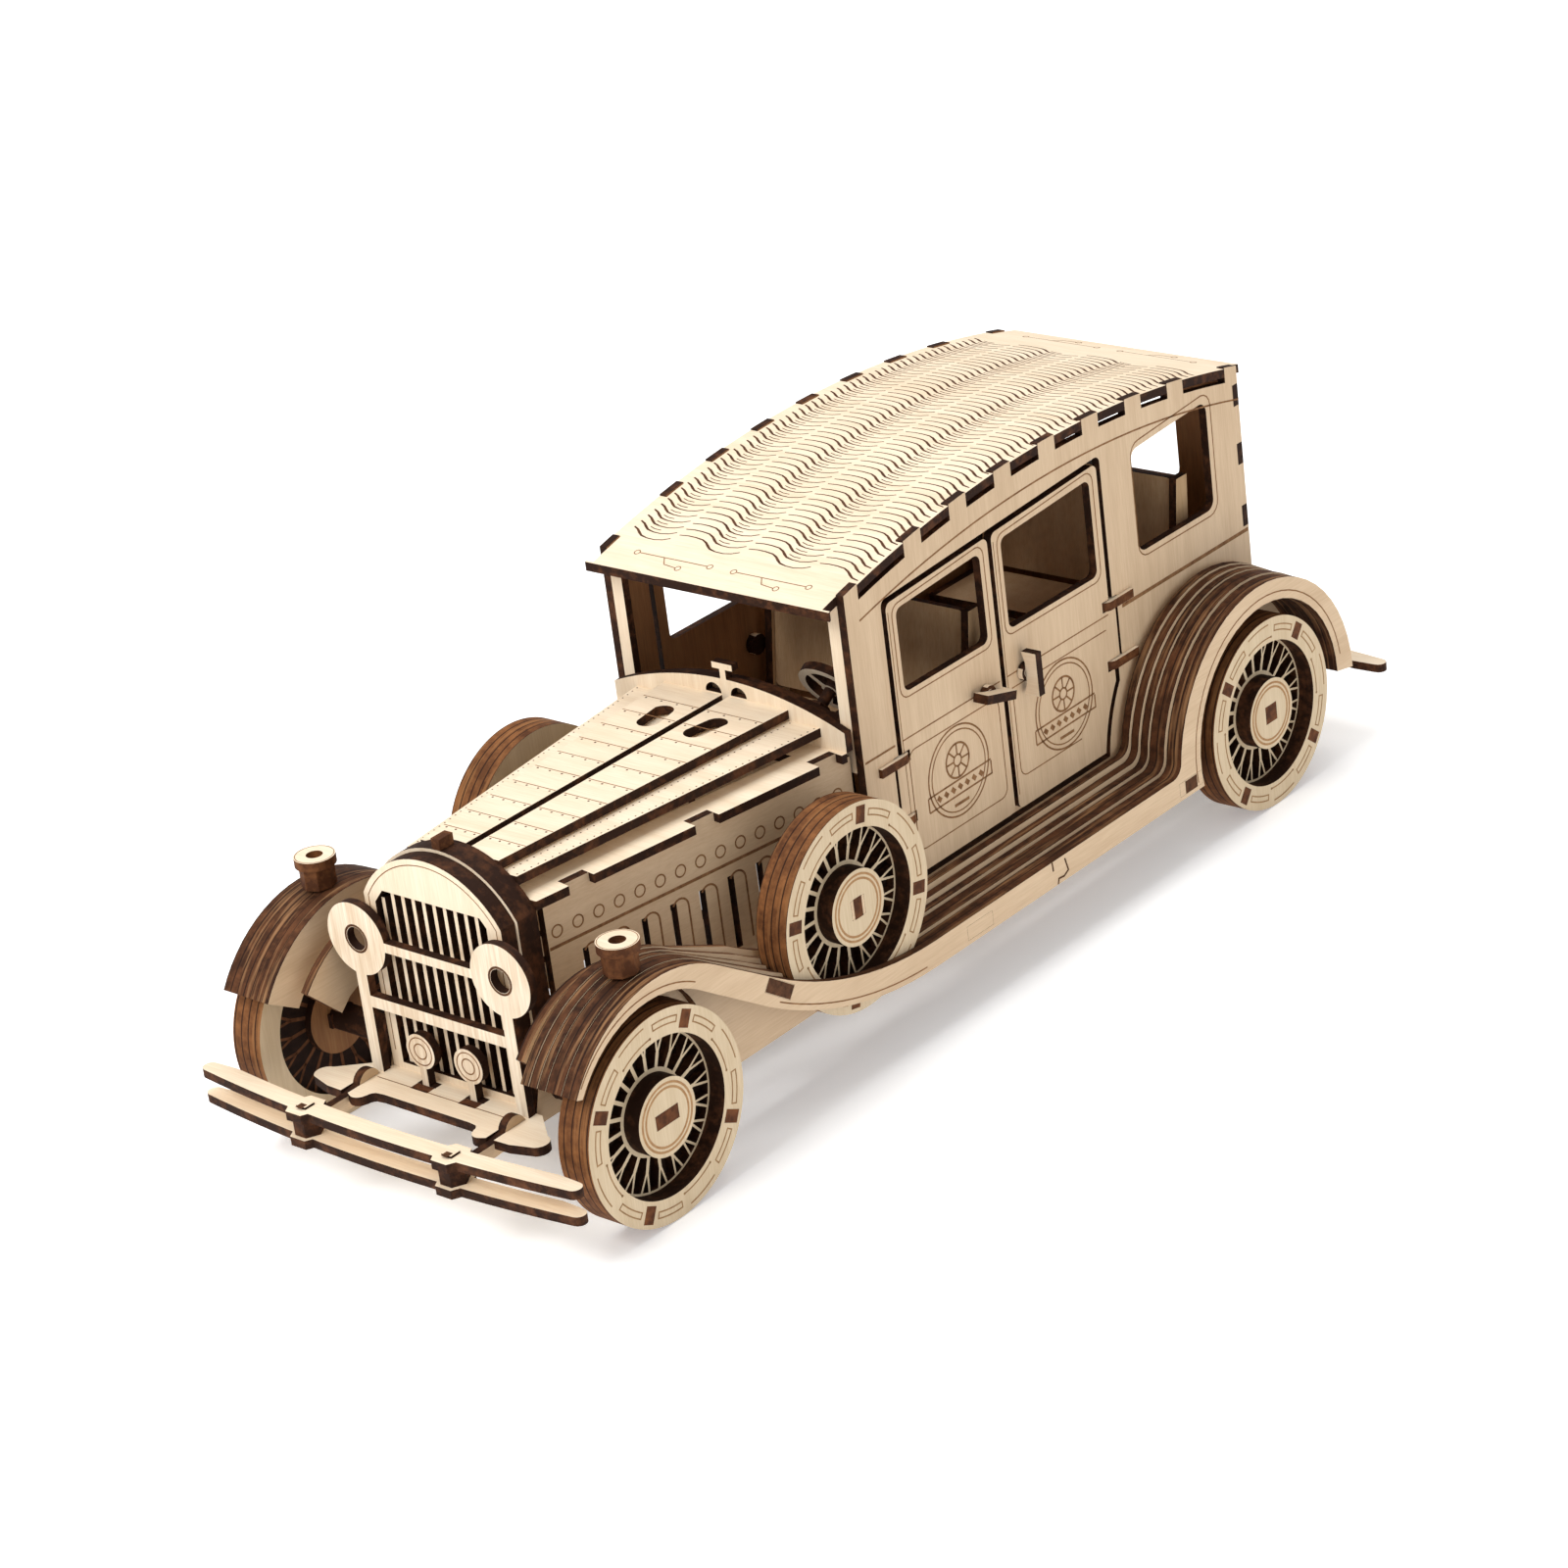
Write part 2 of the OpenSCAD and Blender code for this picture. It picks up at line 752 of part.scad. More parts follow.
side_tabs = [8.3, 41.1, 74.6];
side_tab_l = 6.2;
ledge_over = 1.5;
louvre = [1.65, 16.3];
louvre_first = 10.1;
louvre_pitch = 7.7;
louvre_count = 9;
louvre_low = ledge_z - 31.5;

module at_bonnet_side() {
    translate([side_half, bonnet_y0, 0]) rotate([0, 0, -side_angle])
        translate([-ledge_over, 0, 0]) children();
}

module bonnet_ledges() {
    color(light) both() difference() {
        sheet_z(ledge_z - ply) difference() {
            half_bonnet(0, side_half, ledge_half);
            half_bonnet(0, side_half - 9, ledge_half - 10, bonnet_y0 + 6, bonnet_y1 - 6);
        }
        at_bonnet_side() for (s = side_tabs)
            translate([-ply - slot_play, s - slot_play, ledge_z - ply - 1])
                cube([ply + 2 * ledge_over, side_tab_l + 2 * slot_play, ply + 2]);
    }
}

module bonnet_side() {
    low = floor_low + 1;
    color(pale) at_bonnet_side() sheet_x(-ply) difference() {
        union() {
            rect([2.3, low], [side_length - 0.8, ledge_z - ply]);
            for (s = side_tabs) rect([s, ledge_z - ply - 1], [s + side_tab_l, ledge_z]);
        }
        for (i = [0:louvre_count - 1])
            translate([louvre_first + louvre_pitch * i, louvre_low]) square(louvre);
    }
}

module bonnet_rib(y) {
    part = (y + ply / 2 - bonnet_y0) / (bonnet_y1 - bonnet_y0);
    wide = side_half + (ledge_half - side_half) * part - ply - 1.2 - ledge_over;
    core = side_half - 10.4 + (ledge_half - side_half - 1) * part;
    color(pale) sheet_y(y) difference() {
        union() {
            rect([-wide, floor_low + 1], [wide, ledge_z - ply]);
            rect([-core, floor_low], [core, step_z - ply]);
        }
        rect([-wide + 5, floor_low + 6], [wide - 5, ledge_z - 6]);
    }
}

module bonnet_ribs() {
    for (y = [22, 52]) bonnet_rib(y);
}

// The radiator's arch outline, grown sideways and upwards.
module radiator_outline(grow, low) {
    half = grille_half + grow;
    r = 22 + grow;
    top = grille_top + grow;
    spring = sqrt(r * r - half * half);
    start = atan2(spring, half);
    polygon(concat([[-half, low], [half, low]], arc([0, top - r], r, start, 180 - start, 24)));
}

module grille_opening() {
    w = opening_half;
    polygon([[-w, apron_z + 1.5], [w, apron_z + 1.5], [w, opening_top - 3], [w - 2.5, opening_top],
        [2.5 - w, opening_top], [-w, opening_top - 3]]);
}

module grille_plate() {
    color(light) sheet_y(grille_y) difference() {
        radiator_outline(0, apron_z);
        grille_opening();
    }
}

shell_growth = [0, 0.7, 0.7, 0.2];

module radiator_shell() {
    color(burnt) for (i = [0:3]) sheet_y(shell_y + i * ply) difference() {
        radiator_outline(shell_growth[i], i == 0 ? apron_z : floor_low + 0.2);
        if (i < 3) grille_opening();
    }
}

slat_count = 11;
slat_w = 0.95;

module grille_slats() {
    pitch = 2 * opening_half / slat_count;
    color(light) for (i = [0:slat_count - 1])
        translate([-opening_half + pitch * (i + 0.5) - slat_w / 2, grille_y + 0.9, apron_z + 1.5])
            cube([slat_w, 3, opening_top - apron_z - (i == 0 || i == slat_count - 1 ? 3.6 : 1.5)]);
}

module radiator_cap() {
    foot = grille_top + shell_growth[1] + 0.02;
    color(burnt) translate([-1.1, shell_y + ply, foot]) cube([2.2, 2 * ply, 2.4]);
}

// ---------------------------------------------------------------- lamps

lamp_x = 20;
lamp_z = 50.2;
lamp_r = 8;
lamp_hole_r = 2.6;
post_x = 20.3;
post_w = 3;
bracket_y = grille_y - 3.2;
fog_x = 6.7;
fog_z = 27.8;
fog_r = 3.9;
fog_tenon = 5;
side_lamp_x = 42;

module lamp_bracket() {
    color(light) sheet_y(bracket_y) difference() {
        union() {
            for (s = [-1, 1]) {
                mid_rect([s * post_x, (apron_z + lamp_z) / 2], post_w, lamp_z - apron_z);
                translate([s * lamp_x, lamp_z]) circle(lamp_r);
            }
            rect([-lamp_x, lamp_z - 1.3], [lamp_x, lamp_z + 0.8]);
            rect([-lamp_x, lamp_z - 15.2], [lamp_x, lamp_z - 12.6]);
        }
        for (s = [-1, 1]) translate([s * lamp_x, lamp_z]) circle(lamp_hole_r);
    }
}

module fog_lamps() {
    color(light) both() sheet_y(bracket_y) {
        translate([fog_x, fog_z]) circle(fog_r);
        rect([fog_x - 0.9, apron_z - ply], [fog_x + 0.9, fog_z - 2]);
        rect([fog_x - fog_tenon / 2, apron_z - ply], [fog_x + fog_tenon / 2, apron_z]);
    }
}

// A stack of eight-sided blocks with a ring on top, standing on z = 0.
module side_lamp() {
    sheet_z(0, 4.8) circle(3.7, $fn = 8);
    sheet_z(4.8, ply) difference() {
        circle(4.4);
        circle(1.8);
    }
}

module fender_lamps() {
    foot = front_c[1] + front_r + 0.65;
    color(dark) both() translate([side_lamp_x, 1.2, foot]) side_lamp();
}

// ---------------------------------------------------------------- bumpers

clamp_x = 20.4;
clamp_y = 2.6;
clamp_w = 2.6;
spacer_r = 3.1;
bar_pitch = 2.9 * ply;
rear_bar = rail_foot - 0.6;

// Outline of a bowed bar: its middle front edge touches y = 0, and way is 1 for a bar at the front.
module bumper_bar_outline(way) {
    half = bumper_l / 2;
    sag = 3.5;
    big = (half * half + sag * sag) / (2 * sag);
    reach = asin((half - 1.5) / big);
    end = [half - 1.7, big - big * cos(reach) + 1.7];
    scale([1, way]) difference() {
        union() {
            polygon(concat(arc([0, big], big, 270 - reach, 270 + reach, 20),
                arc(end, 1.7, -60, 90, 6),
                arc([0, big], big - 4.4, 270 + reach - 0.8, 270 - reach + 0.8, 20),
                arc([-end[0], end[1]], 1.7, 90, 240, 6)));
            for (s = [-1, 1]) translate([s * clamp_x, clamp_y]) circle(4.2, $fn = 6);
        }
        for (s = [-1, 1]) mid_rect([s * clamp_x, clamp_y], clamp_w + 2 * slot_play, clamp_w + 2 * slot_play);
    }
}

module bumpers() {
    front_bars = [bumper_z - ply, bumper_z - ply - bar_pitch];
    color(light) {
        for (z = front_bars) translate([0, bumper_y, 0]) sheet_z(z) bumper_bar_outline(1);
        translate([0, rear_end, 0]) sheet_z(rear_bar) bumper_bar_outline(-1);
    }
    color(dark) both() {
        translate([clamp_x, bumper_y + clamp_y, bumper_z - bar_pitch])
            cylinder(r = spacer_r, h = bar_pitch - ply, $fn = 6);
        translate([clamp_x - clamp_w / 2, bumper_y + clamp_y - clamp_w / 2, front_bars[1] - 0.5])
            cube([clamp_w, clamp_w, bar_pitch + ply + 1]);
        translate([clamp_x - clamp_w / 2, rear_end - clamp_y - clamp_w / 2, rear_bar - 0.5])
            cube([clamp_w, clamp_w, ply + 0.4]);
    }
}

// ---------------------------------------------------------------- fenders

front_c = [front_arch, wheel_r - 1.3];
front_r = wheel_r + 7.9;
arch_r = wheel_r + 3;
rear_c = [wheelbase - 0.4, wheel_r - 3.1];
rear_r = wheel_r + 11.7;
dip_y = spare_y + 20;

// The line along a fender's top, from the front tip over the running board to the tail.
function top_line(step, rear) =
    let (c = rear_c - rear * step_shift, r = rear_r + step_grow * rear, z = board_z + step,
         start = 180 - asin((z + 3.5 - c[1]) / r), left = c[0] + r * cos(start) - 3.5)
    concat(
        arc(front_c, front_r + 0.2 * step, 148, 90 - slope_a, 18),
        arc([dip_y, z + dip_r], dip_r, 270 - slope_a, 270, 12),
        arc([left, z + 3.5], 3.5, 270, 350, 6),
        arc(c, r, start - 3, 1.5, 24));

// The line along the bottom of a slim panel, from the tail back to the front tip.
function slim_line() =
    concat(
        arc([wheelbase + 0.3, wheel_r - 1.2], wheel_r + 4.8, 0.5, 192, 24),
        [[wheelbase - wheel_r - 5.5, board_low]],
        arc([dip_y, board_z + dip_r], dip_r + panel_w - 0.1, 270, 270 - slope_a, 12),
        arc([0, wheel_r], arch_r, 92 - slope_a, 146, 14));

// The same for a deep sheet that closes the space behind the front wheel.
function deep_line(front, rear) =
    concat(
        arc([wheelbase + 0.3, wheel_r - 1.2], rear, 2, 190, 24),
        [[wheelbase - wheel_r - 5.5, board_low]],
        arc([0, wheel_r], front, -asin((wheel_r - board_low) / front), 146, 20));

// Flat bars that run through the fender sheets and hold them together: y, z and tilt of each.
tie_at = [[36.8, 33.2, 36], [100, board_low + 2.6, 0], [wheelbase - 31.2, board_low + 2.6, 0]];
tie_size = [8.6, ply + 1.2];

module ties(play) {
    for (t = tie_at) translate([t[0], t[1]]) rotate(-t[2])
        square(tie_size + 2 * play * [1, 1], center = true);
}

module fender_sheet(i) {
    top = top_line(sheet_steps[i], rear_steps[i]);
    difference() {
        polygon(i < outer_sheets ? concat(top, slim_line())
            : concat(top, deep_line(i == outer_sheets ? arch_r : arch_r - 6.5,
                wheel_r + (i == outer_sheets ? 4.8 : -1))));
        if (i < outer_sheets) translate([spare_y, spare_z]) circle(wheel_r + 0.8);
        ties(slot_play);
    }
}

module fender_sheets() {
    color(burnt) both() {
        for (i = [1:len(sheet_steps) - 1]) sheet_x(panel_x - (i + 1) * ply) fender_sheet(i);
        sheet_x(inner_sheet_x) difference() {
            polygon(concat(arc(front_c, front_r - 3, 140, 60, 14), [[spare_y - 4, board_low + 8],
                [spare_y - 4, board_low]], arc([0, wheel_r], 13, -30, 140, 10)));
            ties(slot_play);
        }
        sheet_x(inner_sheet_x, panel_x - inner_sheet_x) ties(0);
    }
}

module outer_panels() {
    color(light) both() sheet_x(panel_x - ply) difference() {
        polygon(concat(top_line(0, 0), slim_line()));
        ties(slot_play);
    }
}

// ---------------------------------------------------------------- the car

module wheel_pair(y) {
    both() at_wheel(y) children();
}

placed() at_wheel(0) tyre();  // tyre_front_left
placed() mirror([1, 0, 0]) at_wheel(0) tyre();  // tyre_front_right
placed() at_wheel(wheelbase) tyre();  // tyre_rear_left
placed() mirror([1, 0, 0]) at_wheel(wheelbase) tyre();  // tyre_rear_right
placed() at_spare() tyre();  // tyre_spare_left
placed() mirror([1, 0, 0]) at_spare() tyre();  // tyre_spare_right
placed() wheel_pair(0) spoke_disc(front_peg);  // spoke_discs_front
placed() wheel_pair(wheelbase) spoke_disc(peg);  // spoke_discs_rear
placed() both() at_spare() spoke_disc(peg);  // spoke_discs_spare
placed() wheel_pair(0) hub(front_peg);  // hubs_front
placed() wheel_pair(wheelbase) hub(peg);  // hubs_rear
placed() both() at_spare() hub(peg);  // hubs_spare
placed() axle(0, front_peg);  // axle_front
placed() axle(wheelbase, peg);  // axle_rear
placed() both() spare_bracket();  // spare_brackets
placed() frame_rails();
placed() cross_members();
placed() floor_sheet();  // floor
placed() front_apron();
placed() rear_apron();
placed() rear_deck();
placed() side_wall();  // side_wall_left
placed() mirror([1, 0, 0]) side_wall();  // side_wall_right
placed() rear_wall();
placed() windshield_frame();
placed() cowl();
placed() roof();
placed() sun_visors();
placed() door(hinges[0], door_middle - door_gap / 2);  // door_front_left
placed() mirror([1, 0, 0]) door(hinges[0], door_middle - door_gap / 2);  // door_front_right
placed() door(hinges[1], door_middle + door_gap / 2);  // door_rear_left
placed() mirror([1, 0, 0]) door(hinges[1], door_middle + door_gap / 2);  // door_rear_right
placed() handle(door_middle - door_gap / 2 - handle_in, front_turn);  // handle_front_left
placed() mirror([1, 0, 0]) handle(door_middle - door_gap / 2 - handle_in, front_turn);  // handle_front_right
placed() handle(door_middle + door_gap / 2 + handle_in, 0);  // handle_rear_left
placed() mirror([1, 0, 0]) handle(door_middle + door_gap / 2 + handle_in, 0);  // handle_rear_right
placed() hinge_plates();
placed() dashboard();
placed() steering_column();
placed() steering_wheel();
placed() seat_sides();
placed() seat_cushions();
placed() front_seat_backs();
placed() rear_seat_back();
placed() bonnet_top();
placed() bonnet_steps();
placed() bonnet_ledges();
placed() bonnet_side();  // bonnet_side_left
placed() mirror([1, 0, 0]) bonnet_side();  // bonnet_side_right
placed() bonnet_ribs();
placed() radiator_shell();
placed() grille_plate();
placed() grille_slats();
placed() radiator_cap();
placed() lamp_bracket();
placed() fog_lamps();
placed() fender_lamps();
placed() bumpers();
placed() fender_sheets();
placed() outer_panels();
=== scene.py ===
"""Looks of a plywood saloon car kit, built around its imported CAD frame.

Detail positions are given in millimetres, with y counted from the front axle, x across the car and
z up from the ground; place() turns them into the frame's metres.
"""

import math

import bmesh
import bpy
from mathutils import Matrix, Vector


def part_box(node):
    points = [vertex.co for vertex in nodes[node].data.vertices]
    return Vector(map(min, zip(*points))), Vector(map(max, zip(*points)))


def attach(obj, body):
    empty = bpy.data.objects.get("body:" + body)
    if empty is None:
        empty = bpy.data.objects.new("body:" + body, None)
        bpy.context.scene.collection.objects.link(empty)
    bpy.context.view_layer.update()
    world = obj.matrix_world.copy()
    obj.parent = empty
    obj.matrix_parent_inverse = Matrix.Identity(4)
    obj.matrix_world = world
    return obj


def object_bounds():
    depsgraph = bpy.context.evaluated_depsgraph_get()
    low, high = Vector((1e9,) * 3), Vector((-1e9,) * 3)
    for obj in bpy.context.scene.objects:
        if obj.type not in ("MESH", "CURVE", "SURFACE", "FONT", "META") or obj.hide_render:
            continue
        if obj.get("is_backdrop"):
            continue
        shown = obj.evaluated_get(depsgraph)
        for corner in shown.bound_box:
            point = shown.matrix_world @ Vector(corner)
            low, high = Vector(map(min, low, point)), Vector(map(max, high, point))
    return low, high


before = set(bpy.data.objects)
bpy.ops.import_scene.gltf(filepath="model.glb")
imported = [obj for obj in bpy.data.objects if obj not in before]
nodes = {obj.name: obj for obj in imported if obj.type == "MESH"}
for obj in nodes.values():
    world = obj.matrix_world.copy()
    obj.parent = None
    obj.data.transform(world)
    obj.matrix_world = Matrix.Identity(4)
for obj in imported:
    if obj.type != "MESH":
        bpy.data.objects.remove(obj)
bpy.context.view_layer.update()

MM = 0.001
SHEET = 2.0  # thickness of the plywood in millimetres


def middle(node):
    low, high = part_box(node)
    return (low + high) / 2


AXLE_Y = middle("axle_front").y / MM
WHEELBASE = middle("axle_rear").y / MM - AXLE_Y


def place(x, y, z):
    return Vector((x, y + AXLE_Y, z)) * MM


def edge(node, axis, side):
    """A node's lowest (side 0) or highest (side 1) value on an axis, as place() counts it."""
    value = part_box(node)[side]["xyz".index(axis)] / MM
    return value - AXLE_Y if axis == "y" else value


# ---------------------------------------------------------------- materials


def new_material(name):
    m = bpy.data.materials.new(name)
    m.use_nodes = True
    tree = m.node_tree
    return m, tree, tree.nodes["Principled BSDF"]


def add(tree, kind, **values):
    n = tree.nodes.new(kind)
    for key, value in values.items():
        if key in n.inputs:
            n.inputs[key].default_value = value
        else:
            setattr(n, key, value)
    return n


def scaled_place(tree, scale):
    """Object coordinates, stretched by one factor on each axis."""
    coords = add(tree, "ShaderNodeTexCoord")
    mapping = add(tree, "ShaderNodeMapping", Scale=scale)
    tree.links.new(coords.outputs["Object"], mapping.inputs["Vector"])
    return mapping.outputs["Vector"]


def noise(tree, vector, scale, detail=3.0, roughness=0.55):
    n = add(tree, "ShaderNodeTexNoise", Scale=scale, Detail=detail, Roughness=roughness)
    tree.links.new(vector, n.inputs["Vector"])
    return n.outputs["Fac"]


def ramp(tree, fac, stops):
    r = add(tree, "ShaderNodeValToRGB")
    r.color_ramp.elements[0].position, r.color_ramp.elements[0].color = stops[0][0], (*stops[0][1], 1)
    r.color_ramp.elements[1].position, r.color_ramp.elements[1].color = stops[-1][0], (*stops[-1][1], 1)
    for at, colour in stops[1:-1]:
        r.color_ramp.elements.new(at).color = (*colour, 1)
    tree.links.new(fac, r.inputs["Fac"])
    return r.outputs["Color"]


def math_node(tree, operation, a, b=None):
    n = add(tree, "ShaderNodeMath", operation=operation)
    for i, v in enumerate((a, b)):
        if v is None:
            continue
        if isinstance(v, (int, float)):
            n.inputs[i].default_value = v
        else:
            tree.links.new(v, n.inputs[i])
    return n.outputs[0]


def mix(tree, fac, a, b):
    n = add(tree, "ShaderNodeMix", data_type="RGBA")
    if isinstance(fac, (int, float)):
        n.inputs[0].default_value = fac
    else:
        tree.links.new(fac, n.inputs[0])
    for socket, v in ((6, a), (7, b)):
        if isinstance(v, tuple):
            n.inputs[socket].default_value = (*v, 1)
        else:
            tree.links.new(v, n.inputs[socket])
    return n.outputs[2]


def bump(tree, shader, height, strength, distance):
    b = add(tree, "ShaderNodeBump", Strength=strength, Distance=distance)
    tree.links.new(height, b.inputs["Height"])
    tree.links.new(b.outputs["Normal"], shader.inputs["Normal"])


ALONG = {"x": (0.05, 1, 1), "y": (1, 0.05, 1), "z": (1, 1, 0.05)}


def birch(name, light, dark, grain, roughness=0.62, fibre=2600):
    """A sanded birch face: long fine fibres along one axis, with faint broader bands."""
    m, tree, shader = new_material(name)
    fibres = noise(tree, scaled_place(tree, ALONG[grain]), fibre, 4, 0.6)
    bands = noise(tree, scaled_place(tree, ALONG[grain]), 260, 2, 0.5)
    mottle = noise(tree, scaled_place(tree, (1, 1, 1)), 45, 3, 0.5)
    tone = math_node(tree, "ADD", math_node(tree, "MULTIPLY", fibres, 0.45),
                     math_node(tree, "MULTIPLY", bands, 0.35))
    tone = math_node(tree, "ADD", tone, math_node(tree, "MULTIPLY", mottle, 0.2))
    middle_tone = tuple((a + b) / 2 for a, b in zip(light, dark))
    colour = ramp(tree, tone, [(0.34, dark), (0.48, middle_tone), (0.62, light)])
    tree.links.new(colour, shader.inputs["Base Color"])
    shader.inputs["Roughness"].default_value = roughness
    shader.inputs["Specular IOR Level"].default_value = 0.3
    bump(tree, shader, fibres, 0.25, 0.00008)
    return m


def burnt(name, dark, light, share=0.5, across=None, lines=None):
    """A laser-cut edge: scorched and streaked; across a stack of sheets it has a dark seam at each
    joint and, where a colour is given, paler plies that run along each sheet."""
    m, tree, shader = new_material(name)
    mottle = noise(tree, scaled_place(tree, (1, 1, 1)), 420, 5, 0.65)
    patches = noise(tree, scaled_place(tree, (1, 1, 1)), 90, 2, 0.5)
    tone = math_node(tree, "ADD", math_node(tree, "MULTIPLY", mottle, 0.6),
                     math_node(tree, "MULTIPLY", patches, 0.4))
    low = 0.62 - 0.3 * share
    colour = ramp(tree, tone, [(low, dark), (low + 0.22, light)])
    if across:
        coords = add(tree, "ShaderNodeTexCoord")
        split = add(tree, "ShaderNodeSeparateXYZ")
        tree.links.new(coords.outputs["Object"], split.inputs[0])
        axis = split.outputs["xyz".index(across)]
        sheets = math_node(tree, "DIVIDE", math_node(tree, "ABSOLUTE", axis), SHEET * MM)
        shifted = math_node(tree, "ADD", sheets, SEAM_SHIFT)
        inside = math_node(tree, "FRACT", shifted)
        index = math_node(tree, "FLOOR", shifted)
        random = add(tree, "ShaderNodeTexWhiteNoise", noise_dimensions="1D")
        tree.links.new(index, random.inputs["W"])
        sheet_tone = math_node(tree, "MULTIPLY", random.outputs["Value"], 0.45)
        colour = mix(tree, sheet_tone, colour, light)
        if lines:
            flow = tuple(1.0 if k == across else 0.05 for k in "xyz")
            plies = noise(tree, scaled_place(tree, flow), 800, 3, 0.55)
            shown = ramp(tree, plies, [(0.52, (0, 0, 0)), (0.66, (0.85, 0.85, 0.85))])
            colour = mix(tree, shown, colour, lines)
        off = math_node(tree, "ABSOLUTE", math_node(tree, "SUBTRACT", inside, 0.5))
        seam = math_node(tree, "GREATER_THAN", off, 0.41)
        colour = mix(tree, math_node(tree, "MULTIPLY", seam, 0.85), colour, SEAM)
    tree.links.new(colour, shader.inputs["Base Color"])
    shader.inputs["Roughness"].default_value = 0.7
    shader.inputs["Specular IOR Level"].default_value = 0.12
    bump(tree, shader, mottle, 0.35, 0.00012)
    return m


def scorch(name, dark, light):
    """An engraved or scorched line."""
    m, tree, shader = new_material(name)
    tone = noise(tree, scaled_place(tree, (1, 1, 1)), 700, 3, 0.6)
    tree.links.new(ramp(tree, tone, [(0.3, dark), (0.7, light)]), shader.inputs["Base Color"])
    shader.inputs["Roughness"].default_value = 0.8
    shader.inputs["Specular IOR Level"].default_value = 0.15
    return m


# Moves the seams of a stack across x onto the joints between its sheets.
SEAM_SHIFT = 1 - (edge("outer_panels", "x", 1) / SHEET) % 1.0

PALE, PALE_DARK = (0.88, 0.74, 0.56), (0.74, 0.57, 0.39)
# The faces across x, on the sides and the wheels, are darker and warmer than the pale tops and fronts:
# painted shade of the sides turned away from the light.
SHADED_SIDE, SHADED_SIDE_DARK = (0.70, 0.52, 0.34), (0.57, 0.40, 0.245)
# The dark tan below is painted shade for inward faces: the cabin walls, the wheels' hidden sides and
# the dashboard.
INWARD_SHADE, INWARD_SHADE_DARK = (0.33, 0.155, 0.06), (0.20, 0.085, 0.03)
BLACKENED, SCORCHED = (0.024, 0.009, 0.0045), (0.13, 0.048, 0.019)
AMBER = (0.24, 0.095, 0.032)
STACK_LINES = (0.29, 0.15, 0.068)
SEAM = (0.014, 0.005, 0.003)

face_x = birch("birch_side_shaded", SHADED_SIDE, SHADED_SIDE_DARK, "z")
face_x_long = birch("birch_side_long_shaded", SHADED_SIDE, SHADED_SIDE_DARK, "y")
face_y = birch("birch_front", PALE, PALE_DARK, "z")
face_z = birch("birch_top", PALE, PALE_DARK, "x")
face_roof = birch("birch_roof", PALE, PALE_DARK, "x")
# Painted shade: the wheels' faces are set darker than the tops, as the sides are.
face_wheel = birch("birch_wheel_shaded", (0.69, 0.55, 0.37), (0.57, 0.43, 0.265), "z")
# Painted shade: inward faces are given this dark birch.
inside = birch("birch_inward_shade", INWARD_SHADE, INWARD_SHADE_DARK, "z", 0.7)
face_lamp = birch("birch_lamp", (0.93, 0.82, 0.66), (0.58, 0.41, 0.25), "z", fibre=1500)
seat = birch("birch_seat", (0.58, 0.39, 0.22), (0.44, 0.27, 0.13), "z", 0.7)
edges = burnt("scorched_edge", BLACKENED, SCORCHED, 0.45)
edges_soft = burnt("scorched_edge_light", (0.07, 0.024, 0.009), (0.22, 0.085, 0.03), 0.55)
stack = burnt("scorched_stack", (0.030, 0.011, 0.005), (0.12, 0.045, 0.018), 0.6, "x",
              STACK_LINES)
tread = burnt("scorched_tread", (0.085, 0.03, 0.011), AMBER, 0.7, "x", (0.28, 0.125, 0.045))
shell_edges = burnt("scorched_shell", BLACKENED, (0.10, 0.036, 0.014), 0.5)
engraved = scorch("engraved_line", (0.16, 0.072, 0.03), (0.30, 0.155, 0.07))
# A near-black colour: painted shade behind the spokes.
spoke_shade = scorch("painted_spoke_shade", (0.010, 0.004, 0.0025), (0.022, 0.009, 0.005))
spoke_lines = scorch("spoke_lines", (0.075, 0.028, 0.011), (0.16, 0.065, 0.028))
engraved_soft = scorch("engraved_soft", (0.25, 0.135, 0.06), (0.38, 0.225, 0.11))
engraved_warm = scorch("engraved_ring", (0.34, 0.18, 0.08), (0.46, 0.27, 0.13))
engraved_dark = scorch("engraved_dark", (0.045, 0.018, 0.008), (0.12, 0.05, 0.022))
tenon = burnt("tenon_end", (0.07, 0.024, 0.010), (0.20, 0.07, 0.024), 0.6)

# ---------------------------------------------------------------- CAD nodes


def dress(node, axis, face, side, inner=None):
    """Gives a node's flat faces one material, its cut edges another and its inward faces a third, which
    carries painted shade.
    """
    o = nodes[node]
    o.data.materials.clear()
    for m in (face, side, inner or face):
        o.data.materials.append(m)
    axis = Vector(axis).normalized()
    for poly in o.data.polygons:
        along = poly.normal.dot(axis)
        if abs(along) < 0.8:
            poly.material_index = 1
        else:
            inward = inner and along * poly.center.dot(axis) < 0
            poly.material_index = 2 if inward else 0


def darken_bores(node):
    """Gives the walls that face a wheel's own axis the scorched material."""
    o = nodes[node]
    o.data.materials.append(edges)
    centre = middle(node)
    for poly in o.data.polygons:
        out = poly.center - centre
        out.x = 0
        if poly.material_index == 1 and poly.normal.dot(out) < 0:
            poly.material_index = len(o.data.materials) - 1


